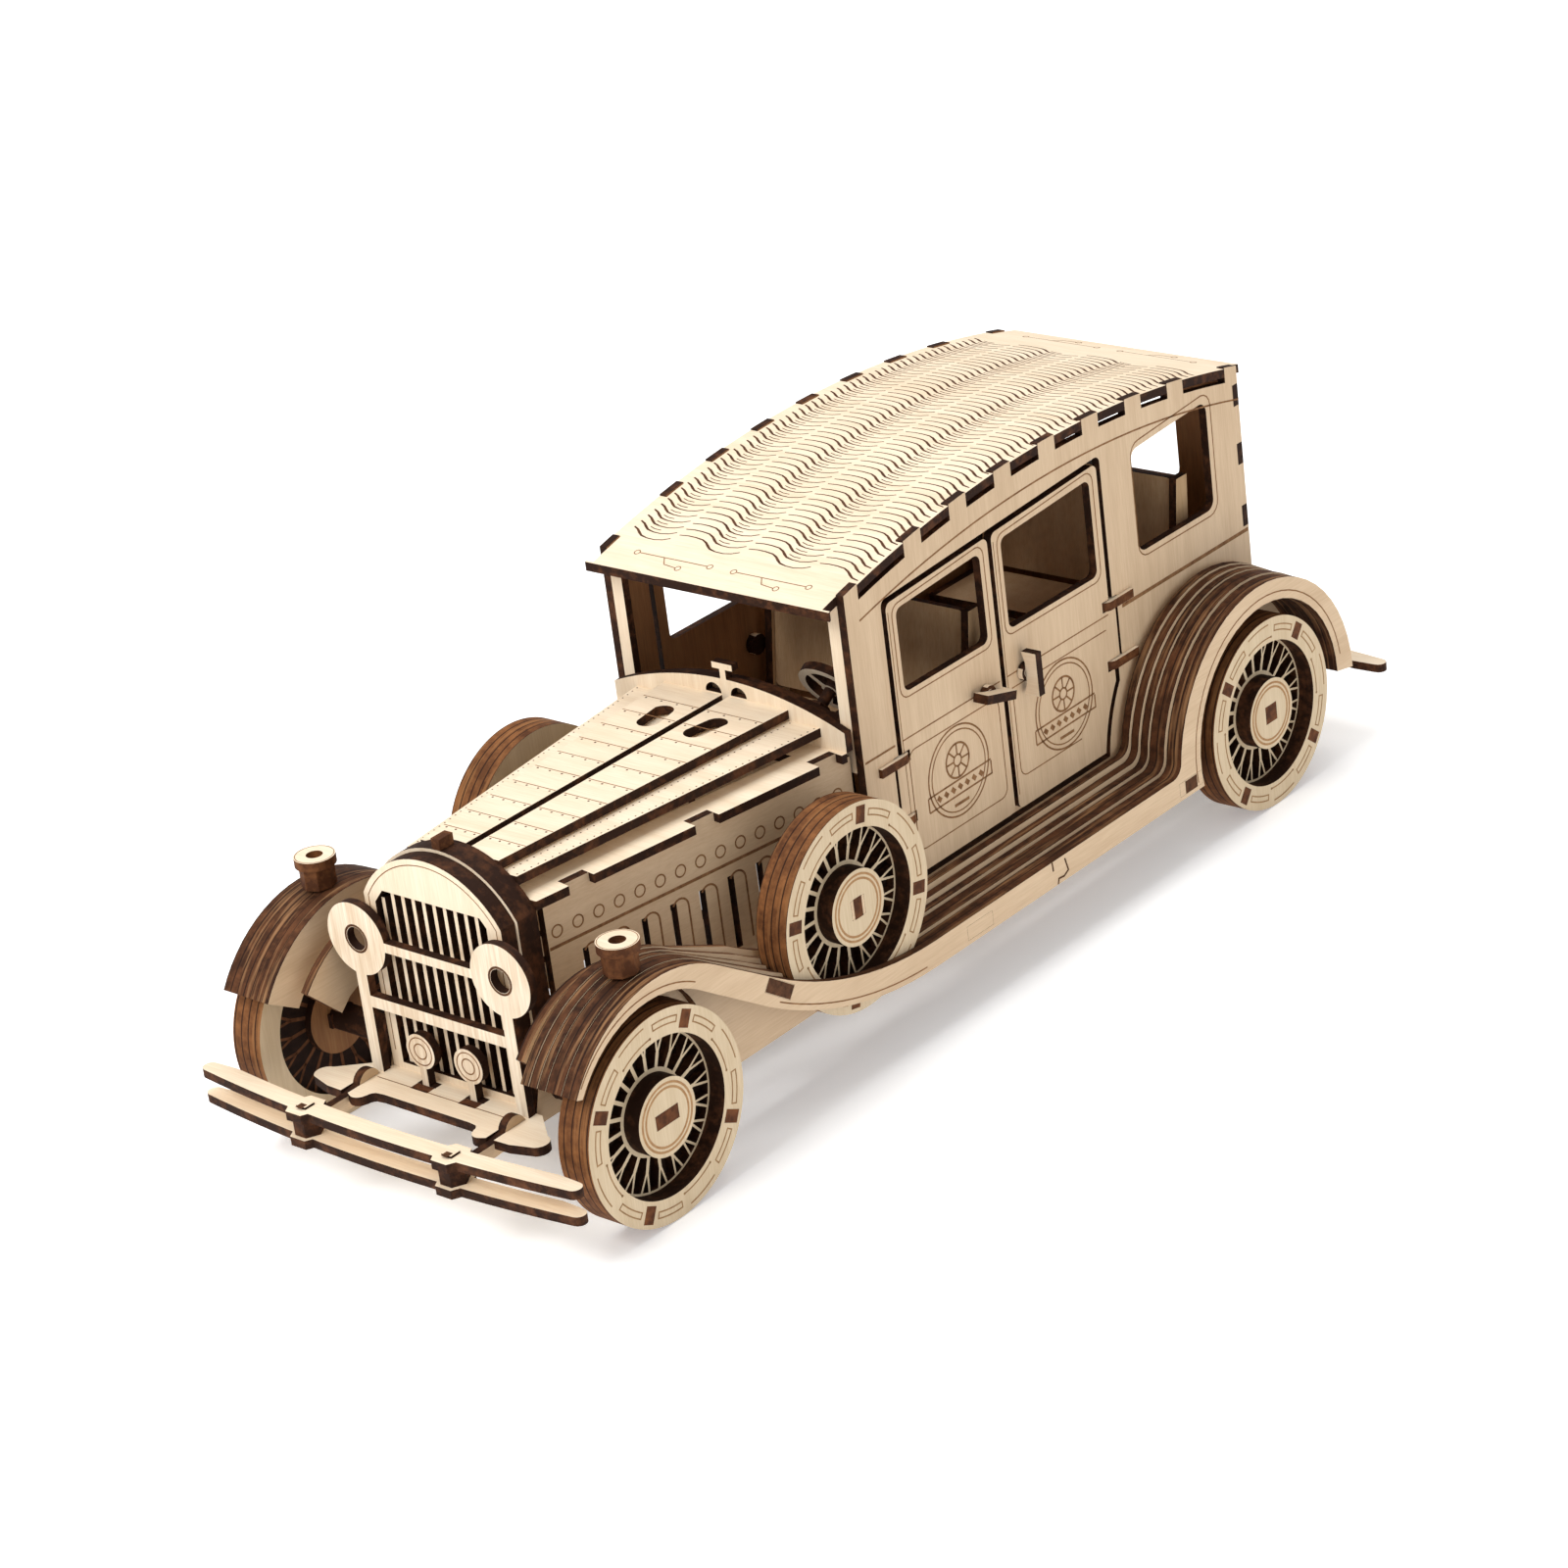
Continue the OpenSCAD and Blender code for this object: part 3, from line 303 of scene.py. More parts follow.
X, Y, Z = (1, 0, 0), (0, 1, 0), (0, 0, 1)
SEAT_LEAN, COLUMN_LEAN, HANDLE_LEAN = math.radians(8), math.radians(58), math.radians(75)
SIDES = ("left", "right")
for where in ("front", "rear", "spare"):
    for side in SIDES:
        dress(f"tyre_{where}_{side}", X, face_wheel, tread)
        darken_bores(f"tyre_{where}_{side}")
    dress(f"spoke_discs_{where}", X, face_wheel, edges, inside)
    dress(f"hubs_{where}", X, face_wheel, edges, inside)
for node in ("axle_front", "axle_rear"):
    dress(node, X, tenon, edges)
for node in ("spare_brackets", "frame_rails"):
    dress(node, X, face_x_long, edges)
dress("fender_sheets", X, face_x_long, stack)
dress("outer_panels", X, face_x_long, stack)
for side in SIDES:
    sign = 1 if side == "left" else -1
    dress(f"side_wall_{side}", X, face_x, edges, inside)
    for where in ("front", "rear"):
        dress(f"door_{where}_{side}", X, face_x, edges, inside)
    tilt = math.atan2(edge("bonnet_side_left", "x", 1) - edge("bonnet_side_left", "x", 0) - SHEET,
                      edge("bonnet_side_left", "y", 1) - edge("bonnet_side_left", "y", 0))
    dress(f"bonnet_side_{side}", (math.cos(tilt), -sign * math.sin(tilt), 0), face_x_long, edges)
for node in ("cross_members", "rear_apron", "rear_wall", "windshield_frame", "bonnet_ribs"):
    dress(node, Y, face_y, edges, inside)
for node in ("cowl", "grille_plate", "grille_slats"):
    dress(node, Y, face_y, edges)
for node in ("lamp_bracket", "fog_lamps"):
    dress(node, Y, face_lamp, edges)
dress("radiator_shell", Y, face_y, shell_edges)
# The dashboard's faces get the painted-shade birch.
dress("dashboard", Y, inside, edges)
dress("sun_visors", Y, face_y, edges)
for node in ("floor", "front_apron", "rear_deck", "bumpers", "bonnet_top", "bonnet_steps",
             "bonnet_ledges"):
    dress(node, Z, face_z, edges)
dress("roof", Z, face_roof, edges, inside)
dress("fender_lamps", Z, face_z, edges_soft)
dress("hinge_plates", Z, face_z, edges_soft)
dress("radiator_cap", Y, edges_soft, edges_soft)
dress("seat_sides", X, seat, edges)
dress("seat_cushions", Z, seat, edges)
for node in ("front_seat_backs", "rear_seat_back"):
    dress(node, (0, math.cos(SEAT_LEAN), -math.sin(SEAT_LEAN)), seat, edges)
column = (0, math.sin(COLUMN_LEAN), math.cos(COLUMN_LEAN))
dress("steering_wheel", column, face_y, edges)
dress("steering_column", column, tenon, edges)
for where in ("front", "rear"):
    lean = HANDLE_LEAN if where == "front" else 0
    for side in SIDES:
        dress(f"handle_{where}_{side}", (0, math.cos(lean), math.sin(lean)), face_z, edges)

# ---------------------------------------------------------------- line and patch pieces

LIFT = 0.03
SUNK = 0.08


class Piece:
    """Collects thin closed solids that lie on surfaces, and makes one object of them."""

    def __init__(self, name, body, material, slot):
        self.name, self.body, self.material, self.slot = name, body, material, slot
        self.verts, self.faces = [], []

    def prism(self, low, high):
        """A closed solid between two outlines with the same number of points."""
        n, start = len(low), len(self.verts)
        self.verts += low + high
        self.faces.append([start + i for i in reversed(range(n))])
        self.faces.append([start + n + i for i in range(n)])
        for i in range(n):
            j = (i + 1) % n
            self.faces.append([start + i, start + j, start + n + j, start + n + i])

    def ribbon(self, points, normals, width, closed=False, lift=LIFT, sunk=SUNK):
        """A thin band along points; normals and width are one value or one for each point."""
        n = len(points)
        if not isinstance(normals, list):
            normals = [normals] * n
        if not isinstance(width, list):
            width = [width] * n
        start = len(self.verts)
        for i, p in enumerate(points):
            before = points[i - 1] if i or closed else p
            after = points[(i + 1) % n] if i < n - 1 or closed else p
            back, ahead = (p - before), (after - p)
            way = (back.normalized() + ahead.normalized())
            way = way.normalized() if way.length > 1e-6 else ahead.normalized()
            up = normals[i].normalized()
            aside = up.cross(way).normalized()
            turn = max(0.5, way.dot(ahead.normalized()) if ahead.length > 1e-9 else 1)
            half = aside * (width[i] / 2 / turn)
            for offset in (-half - up * sunk, half - up * sunk, half + up * lift, -half + up * lift):
                self.verts.append(place(*(p + offset)))
        steps = n if closed else n - 1
        for i in range(steps):
            a, b = start + 4 * i, start + 4 * ((i + 1) % n)
            for k in range(4):
                m = (k + 1) % 4
                self.faces.append([a + k, b + k, b + m, a + m])
        if not closed:
            last = start + 4 * (n - 1)
            self.faces.append([start + 3, start + 2, start + 1, start])
            self.faces.append([last, last + 1, last + 2, last + 3])

    def patch(self, points, normal, lift=LIFT, sunk=SUNK):
        up = normal.normalized()
        self.prism([place(*(p - up * sunk)) for p in points], [place(*(p + up * lift)) for p in points])

    def build(self):
        mesh = bpy.data.meshes.new(self.name)
        mesh.from_pydata([tuple(v) for v in self.verts], [], self.faces)
        bm = bmesh.new()
        bm.from_mesh(mesh)
        bmesh.ops.recalc_face_normals(bm, faces=bm.faces)
        bm.to_mesh(mesh)
        bm.free()
        mesh.materials.append(self.material)
        o = bpy.data.objects.new(self.name, mesh)
        bpy.context.scene.collection.objects.link(o)
        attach(o, self.body)
        return o


class Plane:
    """A flat face: points on it are given by u and v, seen from outside."""

    def __init__(self, origin, u, v):
        self.origin, self.u, self.v = Vector(origin), Vector(u).normalized(), Vector(v).normalized()
        self.normal = self.u.cross(self.v)

    def at(self, u, v):
        return self.origin + self.u * u + self.v * v

    def line(self, piece, path, width, closed=False):
        piece.ribbon([self.at(*p) for p in path], self.normal, width, closed)

    def ring(self, piece, u, v, r, width, parts=28):
        self.line(piece, arc(u, v, r, 0, 360 - 360 / parts, parts - 1), width, True)

    def dot(self, piece, u, v, r, parts=8):
        piece.patch([self.at(*p) for p in arc(u, v, r, 0, 360 - 360 / parts, parts - 1)], self.normal)

    def bar(self, piece, u, v, length, high, turn=0):
        """A filled rectangle round (u, v)."""
        c, s = math.cos(math.radians(turn)), math.sin(math.radians(turn))
        corners = [(-length / 2, -high / 2), (length / 2, -high / 2), (length / 2, high / 2),
                   (-length / 2, high / 2)]
        piece.patch([self.at(u + a * c - b * s, v + a * s + b * c) for a, b in corners], self.normal)


def arc(u, v, r, start, end, parts):
    return [(u + r * math.cos(math.radians(start + (end - start) * i / parts)),
             v + r * math.sin(math.radians(start + (end - start) * i / parts)))
            for i in range(parts + 1)]


def rounded_box(u0, v0, u1, v1, r, v1_end=None):
    """A rectangle with round corners; its top may slope from v1 at u0 to v1_end at u1."""
    v2 = v1 if v1_end is None else v1_end
    return (arc(u0 + r, v0 + r, r, 180, 270, 4) + arc(u1 - r, v0 + r, r, 270, 360, 4)
            + arc(u1 - r, v2 - r, r, 0, 90, 4) + arc(u0 + r, v1 - r, r, 90, 180, 4))


def side_plane(x, sign):
    """A face across x: u runs to the rear and v upwards, on both sides of the car."""
    plane = Plane((sign * x, 0, 0), (0, 1, 0), (0, 0, 1))
    plane.normal = Vector((sign, 0, 0))
    return plane


def front_plane(y):
    plane = Plane((0, y, 0), (1, 0, 0), (0, 0, 1))
    plane.normal = Vector((0, -1, 0))
    return plane


def top_plane(z):
    return Plane((0, 0, z), (1, 0, 0), (0, 1, 0))


# ---------------------------------------------------------------- wheels

WHEEL_FACE = edge("tyre_front_left", "x", 1)
SPARE_FACE = edge("tyre_spare_left", "x", 1)
WHEEL_R = middle("tyre_front_left").z / MM
SPARE_AT = (middle("tyre_spare_left").y / MM - AXLE_Y, middle("tyre_spare_left").z / MM)
RING_MIDDLE = WHEEL_R - 2.8
SPARE_PEG = (2.6, 4.6)
RING_TENON, SLOT_W, SLOT_TURN = (3.8, 2.8), 1.3, 20
SPOKES, FORK_TURN = 20, 5
HUB_R, FORK_R, RIM_R = 8.25, 12.2, WHEEL_R - 5.65
SHADE_SHEET_DEPTH = 6.15


def wheel_marks(name, body, x, at, sign, turn):
    face = side_plane(x, sign)
    lines = Piece(f"wheel_lines_{name}", body, engraved_soft, "birch")
    ends = Piece(f"wheel_tenons_{name}", body, tenon, "burnt_birch")
    u, v = at
    for k in range(4):
        a = turn + 90 * k
        c, s = math.cos(math.radians(a)), math.sin(math.radians(a))
        face.bar(ends, u + RING_MIDDLE * c, v + RING_MIDDLE * s, *RING_TENON, a)
        for start in (a + 7.5, a - 7.5 - SLOT_TURN):
            slot = slot_outline(u, v, RING_MIDDLE + 0.2, start, start + SLOT_TURN, SLOT_W)
            face.line(lines, slot, 0.3, True)
        face.line(lines, arc(u, v, RING_MIDDLE - 1.6, a + 31, a + 59, 8), 0.3)
        face.line(lines, arc(u, v, RING_MIDDLE + 1.5, a + 34, a + 56, 8), 0.3)
        for end in (a + 31, a + 59):
            c2, s2 = math.cos(math.radians(end)), math.sin(math.radians(end))
            face.dot(lines, u + (RING_MIDDLE - 1.6) * c2, v + (RING_MIDDLE - 1.6) * s2, 0.3)
    lines.build()
    ends.build()
    rings = Piece(f"hub_rings_{name}", body, engraved_warm, "birch")
    for share in (0.87, 0.75):
        face.ring(rings, u, v, share * HUB_R, 0.5, 40)
    rings.build()


def painted_spoke_shade(name, body, x, at, sign):
    """A near-black sheet behind a wheel's spokes, its black painted shade, with the fork of each spoke
    drawn on its inner side.
    """
    u, v = at
    # The sheet's black is painted shade.
    sheet = Piece(f"painted_spoke_shade_{name}", body, spoke_shade, "burnt_birch")
    outside = side_plane(x - SHADE_SHEET_DEPTH, sign)
    outside.ring(sheet, u, v, (RIM_R + HUB_R) / 2, RIM_R - HUB_R - 0.1, 48)
    sheet.build()
    forks = Piece(f"spoke_forks_{name}", body, spoke_lines, "burnt_birch")
    behind = side_plane(x - SHADE_SHEET_DEPTH - 0.1, sign)
    behind.normal = -behind.normal
    for k in range(SPOKES):
        a = 360 / SPOKES * k
        ends = [(r, a + turn) for r, turn in ((HUB_R, 0), (FORK_R, 0), (RIM_R, FORK_TURN),
                                              (RIM_R, -FORK_TURN))]
        foot, fork, one, other = [(u + r * math.cos(math.radians(t)), v + r * math.sin(math.radians(t)))
                                  for r, t in ends]
        behind.line(forks, [foot, fork], 0.8)
        behind.line(forks, [fork, one], 0.6)
        behind.line(forks, [fork, other], 0.6)
    forks.build()


def slot_outline(u, v, r, start, end, wide):
    """A slot with square ends that follows a circle."""
    return (arc(u, v, r - wide / 2, start, end, 6) + arc(u, v, r + wide / 2, end, start, 6))


for side, sign in zip(SIDES, (1, -1)):
    for name, body, x, at, turn in (("front", "front_wheels", WHEEL_FACE, (0, WHEEL_R), 64),
                                    ("rear", "rear_wheels", WHEEL_FACE, (WHEELBASE, WHEEL_R), 52),
                                    ("spare", "car", SPARE_FACE, SPARE_AT, 78)):
        wheel_marks(f"{name}_{side}", body, x, at, sign, turn)
        painted_spoke_shade(f"{name}_{side}", body, x, at, sign)
    end = Piece(f"spare_peg_end_{side}", "car", tenon, "burnt_birch")
    side_plane(SPARE_FACE, sign).bar(end, *SPARE_AT, *SPARE_PEG)
    end.build()

# ---------------------------------------------------------------- side walls, doors and panels

WALL = edge("side_wall_left", "x", 1)
BODY_FRONT = edge("side_wall_left", "y", 0)
BODY_REAR = edge("side_wall_left", "y", 1)
ROOF_TOP = edge("roof", "z", 1)
ROOF_R, ROOF_PEAK = 298.0, 160.0
BELT = 57.9
DOOR_TOP, DOOR_FRONT, DOOR_SLOPE = 89.0, 99.4, 0.058


def door_line(y):
    return DOOR_TOP + DOOR_SLOPE * (y - DOOR_FRONT)


def roof_z(y, below=0.0):
    r = ROOF_R - below
    return ROOF_TOP - ROOF_R + math.sqrt(r * r - (y - ROOF_PEAK) ** 2)


def badge(face, lines, u, v, r):
    """A generic round emblem: two rings, a spoked disc and a band with seven small diamonds."""
    face.ring(lines, u, v, r, 0.42, 48)
    face.ring(lines, u, v, r - 1.1, 0.32, 44)
    face.ring(lines, u, v + 2.4, 3.9, 0.5, 28)
    face.ring(lines, u, v + 2.4, 1.3, 0.42, 16)
    for k in range(8):
        a = math.radians(45 * k)
        face.line(lines, [(u + 1.4 * math.cos(a), v + 2.4 + 1.4 * math.sin(a)),
                          (u + 3.8 * math.cos(a), v + 2.4 + 3.8 * math.sin(a))], 0.42)
    for low, high in ((-1.9, -2.2), (-5.2, -5.5)):
        face.line(lines, [(u - r - 0.6, v + high), (u + r + 0.6, v + low)], 0.42)
    for end in (-1, 1):
        face.line(lines, [(u + end * (r + 0.6), v - 2.2), (u + end * (r + 0.6), v - 5.4)], 0.42)
    for k in range(7):
        face.bar(lines, u - 7.2 + 2.4 * k, v - 3.7, 1.1, 1.5, 45)
    face.bar(lines, u, v - 7.4, 5.0, 0.7)


for side, sign in zip(SIDES, (1, -1)):
    face = side_plane(WALL, sign)
    lines = Piece(f"wall_lines_{side}", "car", engraved, "birch")
    steps = 24
    upper = [BODY_FRONT + 4 + (BODY_REAR - BODY_FRONT - 4) * i / steps for i in range(steps + 1)]
    face.line(lines, [(y, roof_z(y, 6.6) - 0.9) for y in upper], 0.4)
    face.line(lines, [(BODY_FRONT + 0.5, BELT), (DOOR_FRONT - 2, BELT)], 0.5)
    rear_edge = edge(f"door_rear_{side}", "y", 1)
    face.line(lines, [(rear_edge + 2.5, BELT), (BODY_REAR - 0.4, BELT)], 0.9)
    win0, win1 = rear_edge + 12.5 - 1.6 - 0.6, BODY_REAR - 12.5 + 1.6
    face.line(lines, rounded_box(win0, BELT + 8.2, win1, door_line(win0) - 0.9, 3.2,
                                 door_line(win1) - 0.9), 0.3, True)
    lines.build()
    for where in ("front", "rear"):
        node = f"door_{where}_{side}"
        front, rear = edge(node, "y", 0), edge(node, "y", 1)
        if where == "front":
            front += 2.2
        else:
            rear -= 2.2
        lines = Piece(f"door_lines_{where}_{side}", f"{where}_{side}_door", engraved, "birch")
        window = rounded_box(front + 1.7, BELT + 8.8, rear - 1.7, door_line(front) - 1.0, 2.4,
                             door_line(rear) - 1.0)
        face.line(lines, window, 0.28, True)
        low = 31.5 if where == "front" else 33.5
        corner = rear - 1.9 if where == "front" else rear - 3.2
        panel = rounded_box(front + 1.9, low, corner, BELT - 3.2, 2.2)
        if where == "front":
            face.line(lines, panel, 0.28, True)
        else:
            face.line(lines, arc(front + 4.1, low + 2.2, 2.2, 270, 180, 4)
                      + [(front + 1.9, BELT - 3.2), (rear - 1.9, BELT - 3.2)], 0.28)
            face.line(lines, [(front + 4.1, low), (rear - 14, low)], 0.28)
        face.line(lines, [(front + 0.6, BELT), (rear - 0.6, BELT)], 0.3)
        face.line(lines, [(front + 0.55, 30), (front + 0.55, door_line(front) - 2)], 0.2)
        badge(face, lines, (front + rear) / 2, 44.0, 10.2)
        lines.build()

PANEL = edge("outer_panels", "x", 1)
FRONT_TIE, REAR_TIE = (36.8, 33.2), (WHEELBASE - 31.2, 18.1)
for side, sign in zip(SIDES, (1, -1)):
    face = side_plane(PANEL, sign)
    lines = Piece(f"panel_lines_{side}", "car", engraved, "birch")
    face.line(lines, arc(WHEELBASE + 0.3, WHEEL_R - 1.2, WHEEL_R + 6.6, 8, 188, 30), 0.3)
    face.line(lines, arc(0, WHEEL_R, WHEEL_R + 4.4, 60, 142, 20), 0.3)
    face.line(lines, arc(85, 21.5 + 90, 94.6, 239, 268, 14), 0.3)
    lines.build()
    joint = Piece(f"panel_joint_{side}", "car", engraved_dark, "burnt_birch")
    face.bar(joint, *FRONT_TIE, 8.4, 3.0, -36)
    face.bar(joint, *REAR_TIE, 4.4, 3.0)
    face.line(joint, [(125.6, 21.45), (125.8, 19.3)], 0.45)
    face.line(joint, [(130.0, 20.6), (130.9, 17.5), (129.3, 16.7), (127.4, 16.9), (127.0, 15.7)], 0.45)
    joint.build()

# ---------------------------------------------------------------- bonnet

BONNET_TOP = edge("bonnet_top", "z", 1)
STEP_TOP = edge("bonnet_steps", "z", 1)
B0, B1 = edge("bonnet_top", "y", 0), edge("bonnet_top", "y", 1)
TOP_W0, TOP_W1 = 10.8, edge("bonnet_top", "x", 1)
STEP_W0, STEP_W1 = 15.2, edge("bonnet_steps", "x", 1)

top = top_plane(BONNET_TOP)
step = top_plane(STEP_TOP)
lines = Piece("bonnet_lines", "car", engraved, "birch")
dots = Piece("bonnet_rivets", "car", engraved_dark, "burnt_birch")
BONNET_ROWS, RIVETS = 11, 44
for side in (-1, 1):
    for k in range(1, BONNET_ROWS):
        y = B0 + (B1 - B0) * k / BONNET_ROWS
        wide = TOP_W0 + (TOP_W1 - TOP_W0) * k / BONNET_ROWS
        top.line(lines, [(side * 1.2, y), (side * (wide - 0.1), y - 0.02)], 0.22)
        for j in range(4):
            x = 2.2 + (wide - 3.6) * j / 3
            top.dot(dots, side * x, y - 0.7, 0.26)
    for k in range(RIVETS + 1):
        share = (k + 0.5) / (RIVETS + 1)
        y = B0 + (B1 - B0) * share
        inner = TOP_W0 + (TOP_W1 - TOP_W0) * share
        outer_edge = STEP_W0 + (STEP_W1 - STEP_W0) * share
        for x in (inner + 0.9, outer_edge - 0.8):
            step.dot(dots, side * x, y, 0.2, 6)
lines.build()
dots.build()

# Half widths of the bonnet's sides at their front and rear ends.
SIDE_FRONT, SIDE_REAR = 19.6, 32.1
TILT = math.atan2(SIDE_REAR - SIDE_FRONT, BODY_FRONT - B0)
RING_PITCH, LOUVRE_PITCH = 5.36, 7.7
for side, sign in zip(SIDES, (1, -1)):
    along = Vector((sign * math.sin(TILT), math.cos(TILT), 0))
    out = Vector((sign * math.cos(TILT), -math.sin(TILT), 0))
    start = Vector((sign * SIDE_FRONT, B0, 0)) - out * 1.5
    face = Plane(start, along, (0, 0, 1))
    face.normal = out
    lines = Piece(f"bonnet_side_lines_{side}", "car", engraved, "birch")
    face.line(lines, [(2.5, 49.3), (83, 49.0)], 0.7)
    for k in range(15):
        face.ring(lines, 4.9 + RING_PITCH * k, 52.5, 1.3, 0.34, 16)
    for k in range(9):
        u = 10.1 + LOUVRE_PITCH * k
        crown = arc(u + 2.6, 44.6, 2.1, 150, 0, 8)
        face.line(lines, crown + [(u + 4.7, 31.0)], 0.45)
    lines.build()

# ---------------------------------------------------------------- front

GRILLE_Y = edge("grille_plate", "y", 0)
GRILLE_TOP = edge("grille_plate", "z", 1)
face = front_plane(GRILLE_Y)
lines = Piece("grille_lines", "car", engraved, "birch")
CROWN_R, PLATE_HALF, BORDER, BORDER_LOW = 22, 19, 1.3, 24
border_r, border_x = CROWN_R - BORDER, PLATE_HALF - BORDER
start = math.degrees(math.acos(border_x / border_r))
face.line(lines, [(-border_x, BORDER_LOW)]
          + arc(0, GRILLE_TOP - CROWN_R, border_r, 180 - start, start, 28)
          + [(border_x, BORDER_LOW)], 0.22)
lines.build()

BRACKET_Y = edge("lamp_bracket", "y", 0)
LAMP_AT, LAMP_HALO_R = (20, 50.2), 2.95
FOG_AT, FOG_RINGS = (6.7, 27.8), ((1.7, 0.3), (3.1, 0.26))
face = front_plane(BRACKET_Y)
lines = Piece("lamp_lines", "car", engraved, "birch")
for side in (-1, 1):
    for r, width in FOG_RINGS:
        face.ring(lines, side * FOG_AT[0], FOG_AT[1], r, width, 24)
lines.build()
halo = Piece("lamp_halos", "car", engraved_dark, "burnt_birch")
for side in (-1, 1):
    face.ring(halo, side * LAMP_AT[0], LAMP_AT[1], LAMP_HALO_R, 0.5, 28)
halo.build()

APRON_TOP = edge("front_apron", "z", 1)
apron = top_plane(APRON_TOP)
lines = Piece("apron_line", "car", engraved, "birch")
apron.line(lines, [(-18.6, -12.5), (18.6, -12.5)], 0.25)
lines.build()
feet = Piece("fog_lamp_feet", "car", tenon, "burnt_birch")
for side in (-1, 1):
    apron.bar(feet, side * FOG_AT[0], BRACKET_Y - 1.15, 4.8, 2.2)
feet.build()

bumper_top = top_plane(edge("bumpers", "z", 1))
BUMPER_FRONT = edge("bumpers", "y", 0)
PEG_AT, PEG_SQUARE = (20.4, 2.6), 1.7
# A dark square at the centre of each peg's top.
ends = Piece("bumper_peg_dark_squares", "car", engraved_dark, "burnt_birch")
for side in (-1, 1):
    bumper_top.bar(ends, side * PEG_AT[0], BUMPER_FRONT + PEG_AT[1], PEG_SQUARE, PEG_SQUARE)
ends.build()

lamp_top = top_plane(edge("fender_lamps", "z", 1))
lines = Piece("fender_lamp_lines", "car", engraved, "birch")
for side in (-1, 1):
    lamp_top.ring(lines, side * 42, 1.2, 4.1, 0.16, 24)
lines.build()

# ---------------------------------------------------------------- roof

ROOF_Y0, ROOF_Y1 = edge("roof", "y", 0), edge("roof", "y", 1)
PLAIN = 13.6
ROW_PITCH = 2.25
WAVE = 19.4
FIRST_STEP = -28.6


def roof_point(x, y):
    return Vector((x, y, roof_z(y)))


def roof_normal(y):
    return Vector((0, y - ROOF_PEAK, roof_z(y) - ROOF_TOP + ROOF_R)).normalized()


def roof_line(piece, path, width, closed=False):
    piece.ribbon([roof_point(*p) for p in path], [roof_normal(p[1]) for p in path], width, closed)


def wave_cut(x, y):
    """Points and widths of one cut of the roof lattice, from its crest to its trough."""
    shape = ((-9.0, 0.15, 0.24), (-6.8, 0.45, 0.26), (-4.6, 0.4, 0.3), (-2.4, 0.1, 0.36),
             (-0.9, -0.6, 0.5), (0.3, -1.5, 0.6), (1.5, -2.3, 0.46), (3.4, -2.75, 0.28),
             (5.6, -2.85, 0.24), (7.6, -2.4, 0.24), (9.2, -1.5, 0.24))
    limit = WALL - 0.6
    kept = [(x + dx, y + dy, w) for dx, dy, w in shape if abs(x + dx) < limit]
    return [(a, b) for a, b, _ in kept], [w for _, _, w in kept]


cuts = Piece("roof_cuts", "car", engraved_dark, "burnt_birch")
for row in range(int((ROOF_Y1 - ROOF_Y0 - 2 * PLAIN) / ROW_PITCH) + 1):
    y = ROOF_Y0 + PLAIN + ROW_PITCH * row
    for column in range(4):
        x = FIRST_STEP + WAVE * column
        path, widths = wave_cut(x, y)
        if len(path) > 2:
            roof_line(cuts, path, widths)
        if row and abs(x + 5) < WALL - 1:
            roof_line(cuts, [(x + 1.4, y - 1.2), (x + 3.0, y - 1.7), (x + 4.8, y - 1.75)], 0.2)
cuts.build()

lines = Piece("roof_ornament", "car", engraved, "birch")
for y, way in ((ROOF_Y0 + 6.0, 1), (ROOF_Y1 - 6.0, -1)):
    for x0 in (-23, 4):
        roof_line(lines, [(x0, y), (x0 + 19, y)], 0.22)
        roof_line(lines, [(x0 + 7, y), (x0 + 8.5, y - way * 2), (x0 + 12, y - way * 2.4)], 0.22)
        for x, dy in ((x0 - 0.7, 0), (x0 + 19.7, 0), (x0 + 12.7, -way * 2.4)):
            roof_line(lines, arc(x, y + dy, 0.7, 0, 324, 9), 0.2, True)
lines.build()

# ---------------------------------------------------------------- inside

planks = Piece("seat_planks", "car", engraved_dark, "burnt_birch")
SEAT_IN, SEAT_OUT, PLANK = 6.2, 26.6, 4.2
for node, x_edges in (("front_seat_backs", ((SEAT_IN, SEAT_OUT), (-SEAT_OUT, -SEAT_IN))),
                      ("rear_seat_back", ((-SEAT_OUT, SEAT_OUT),))):
    low, high = edge(node, "z", 0), edge(node, "z", 1)
    y_low = edge(node, "y", 0)
    up = Vector((0, math.sin(SEAT_LEAN), math.cos(SEAT_LEAN)))
    out = Vector((0, -math.cos(SEAT_LEAN), math.sin(SEAT_LEAN)))
    foot = Vector((0, y_low, low))
    for x0, x1 in x_edges:
        count = max(2, round((x1 - x0) / PLANK))
        for k in range(1, count):
            x = x0 + (x1 - x0) * k / count
            a = foot + Vector((x, 0, 0)) + up * 1.5
            b = foot + Vector((x, 0, 0)) + up * ((high - low) / up.z - 3)
            planks.ribbon([a, b], out, 0.3)
planks.build()

# ---------------------------------------------------------------- room, light and camera


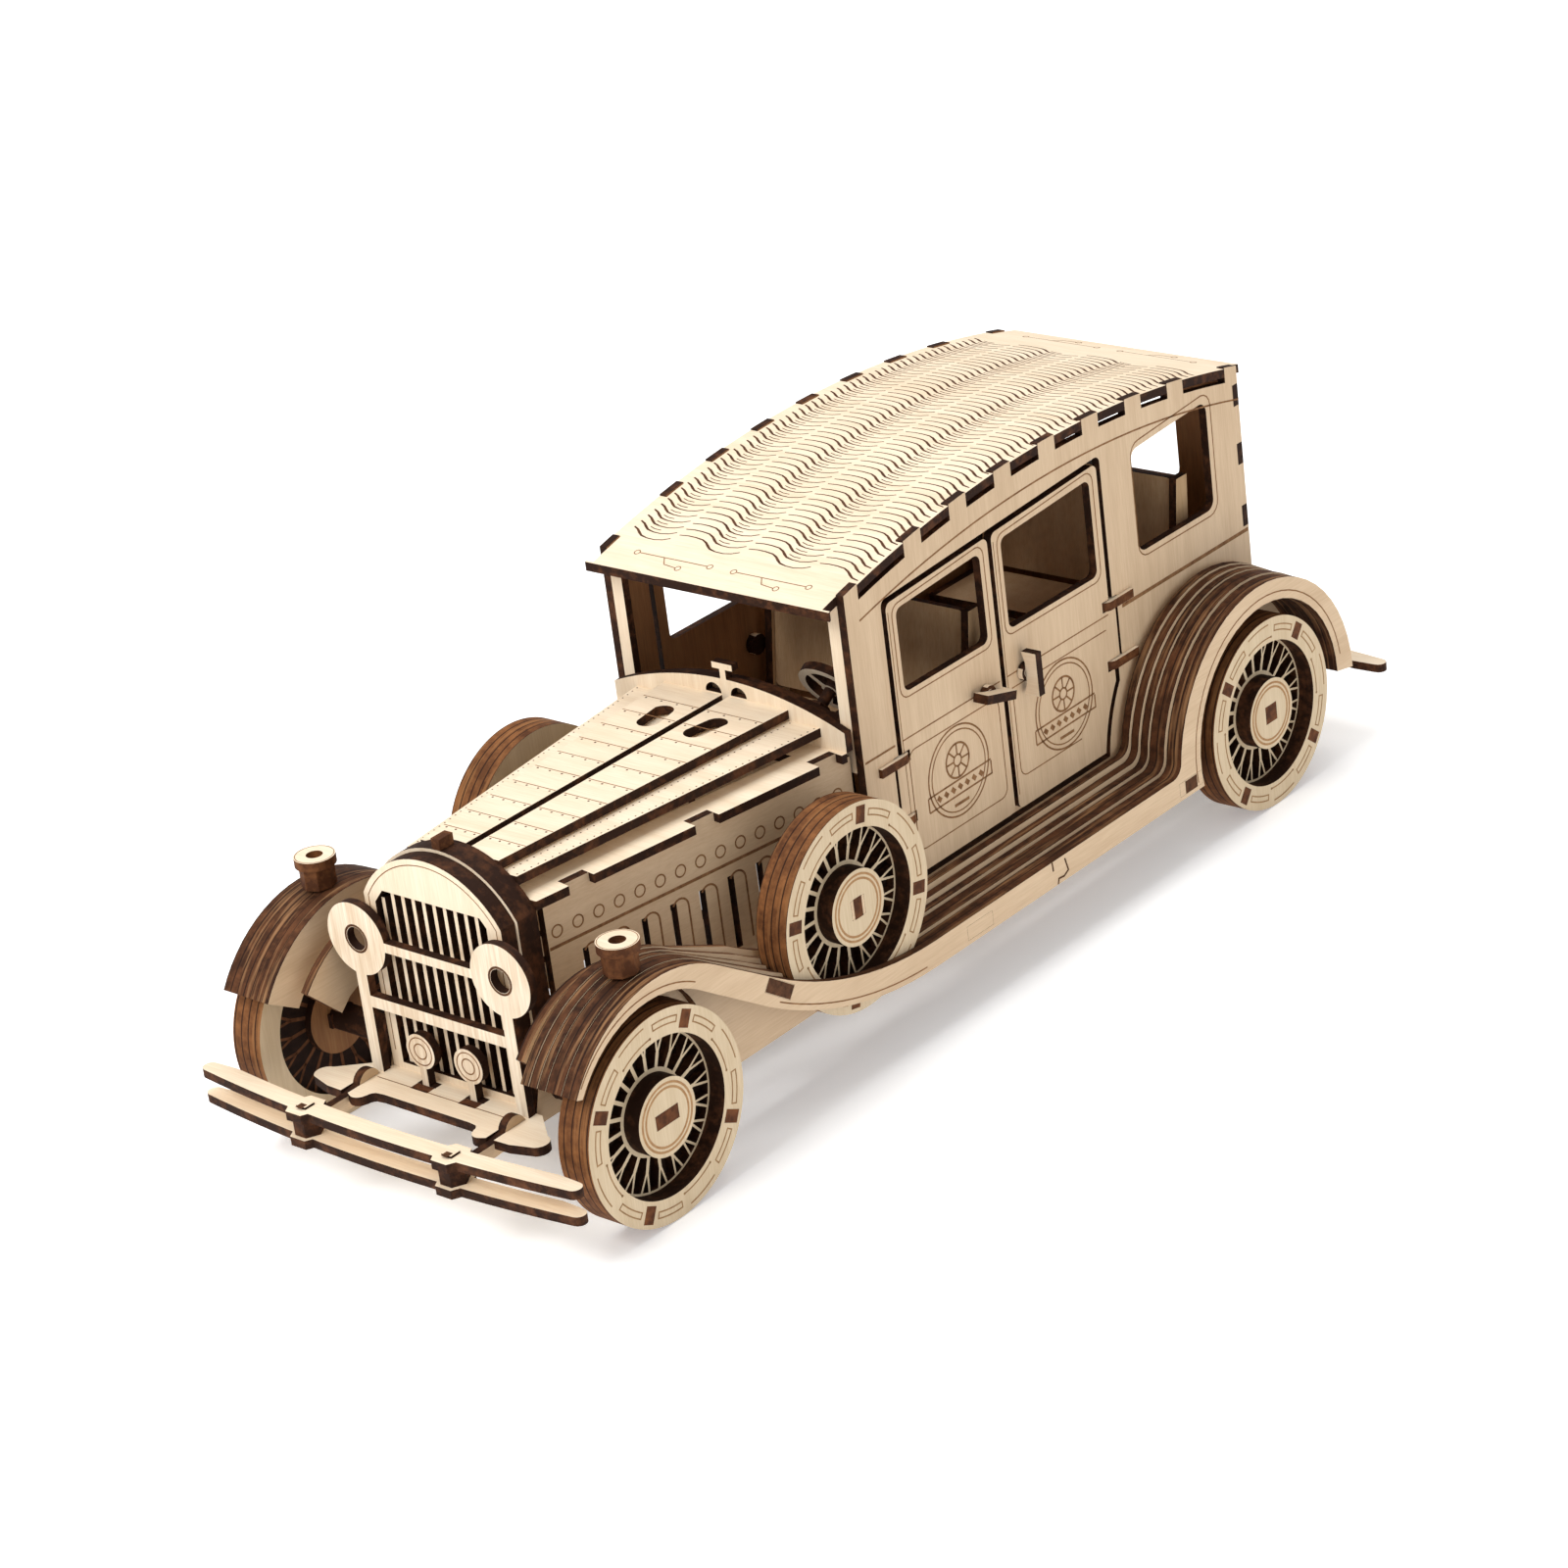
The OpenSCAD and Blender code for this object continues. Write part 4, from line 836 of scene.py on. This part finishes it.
def studio_floor():
    m, tree, shader = new_material("studio_floor")
    tone = noise(tree, scaled_place(tree, (1, 1, 1)), 3, 2, 0.5)
    tree.links.new(ramp(tree, tone, [(0.0, (0.93, 0.93, 0.93)), (1.0, (0.95, 0.95, 0.95))]),
                   shader.inputs["Base Color"])
    shader.inputs["Roughness"].default_value = 0.9
    shader.inputs["Specular IOR Level"].default_value = 0.0
    shader.inputs["Emission Color"].default_value = (1, 1, 1, 1)
    shader.inputs["Emission Strength"].default_value = 0.3
    mesh = bpy.data.meshes.new("studio_floor")
    size = 14
    corners = [(-size, -size, 0), (size, -size, 0), (size, size, 0), (-size, size, 0)]
    mesh.from_pydata(corners, [], [(0, 1, 2, 3)])
    mesh.materials.append(m)
    o = bpy.data.objects.new("studio_floor", mesh)
    o.location.z = -0.0001
    bpy.context.scene.collection.objects.link(o)
    o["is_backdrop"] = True


studio_floor()


def soft_light(name, at, size, power, colour=(1, 1, 1)):
    data = bpy.data.lights.new(name, "AREA")
    data.shape = "SQUARE"
    data.size = size
    data.energy = power
    data.color = colour
    o = bpy.data.objects.new(name, data)
    o.location = at
    o.rotation_euler = (-Vector(at)).to_track_quat("-Z", "Y").to_euler()
    bpy.context.scene.collection.objects.link(o)


soft_light("key", (-0.25, -1.3, 1.35), 0.9, 22)
soft_light("top", (-0.4, 0.4, 2.0), 1.6, 26)
soft_light("fill", (1.6, -0.3, 0.7), 1.0, 3.0)

world = bpy.data.worlds.new("studio")
bpy.context.scene.world = world
world.use_nodes = True
world.node_tree.nodes["Background"].inputs["Color"].default_value = (1, 1, 1, 1)
world.node_tree.nodes["Background"].inputs["Strength"].default_value = 0.45
bpy.context.scene.view_settings.view_transform = "Standard"

CAMERA_AT = (587.289, -528.428, 432.294)
AZIMUTH, ELEVATION, ROLL = math.radians(43.14), math.radians(24.45), math.radians(-7.50)
LENS, SENSOR = 100.92, 36.0


def photo_camera():
    ahead = Vector((-math.sin(AZIMUTH) * math.cos(ELEVATION), math.cos(AZIMUTH) * math.cos(ELEVATION),
                    -math.sin(ELEVATION)))
    level = Vector((math.cos(AZIMUTH), math.sin(AZIMUTH), 0))
    above = level.cross(ahead)
    right = level * math.cos(ROLL) + above * math.sin(ROLL)
    up = right.cross(ahead)
    data = bpy.data.cameras.new("photo_camera")
    data.lens, data.sensor_width = LENS, SENSOR
    data.clip_start, data.clip_end = 0.01, 60
    o = bpy.data.objects.new("photo_camera", data)
    turn = Matrix((right, up, -ahead)).transposed().to_4x4()
    o.matrix_world = Matrix.Translation(place(*CAMERA_AT)) @ turn
    bpy.context.scene.collection.objects.link(o)
    bpy.context.scene.camera = o


photo_camera()

low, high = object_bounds()
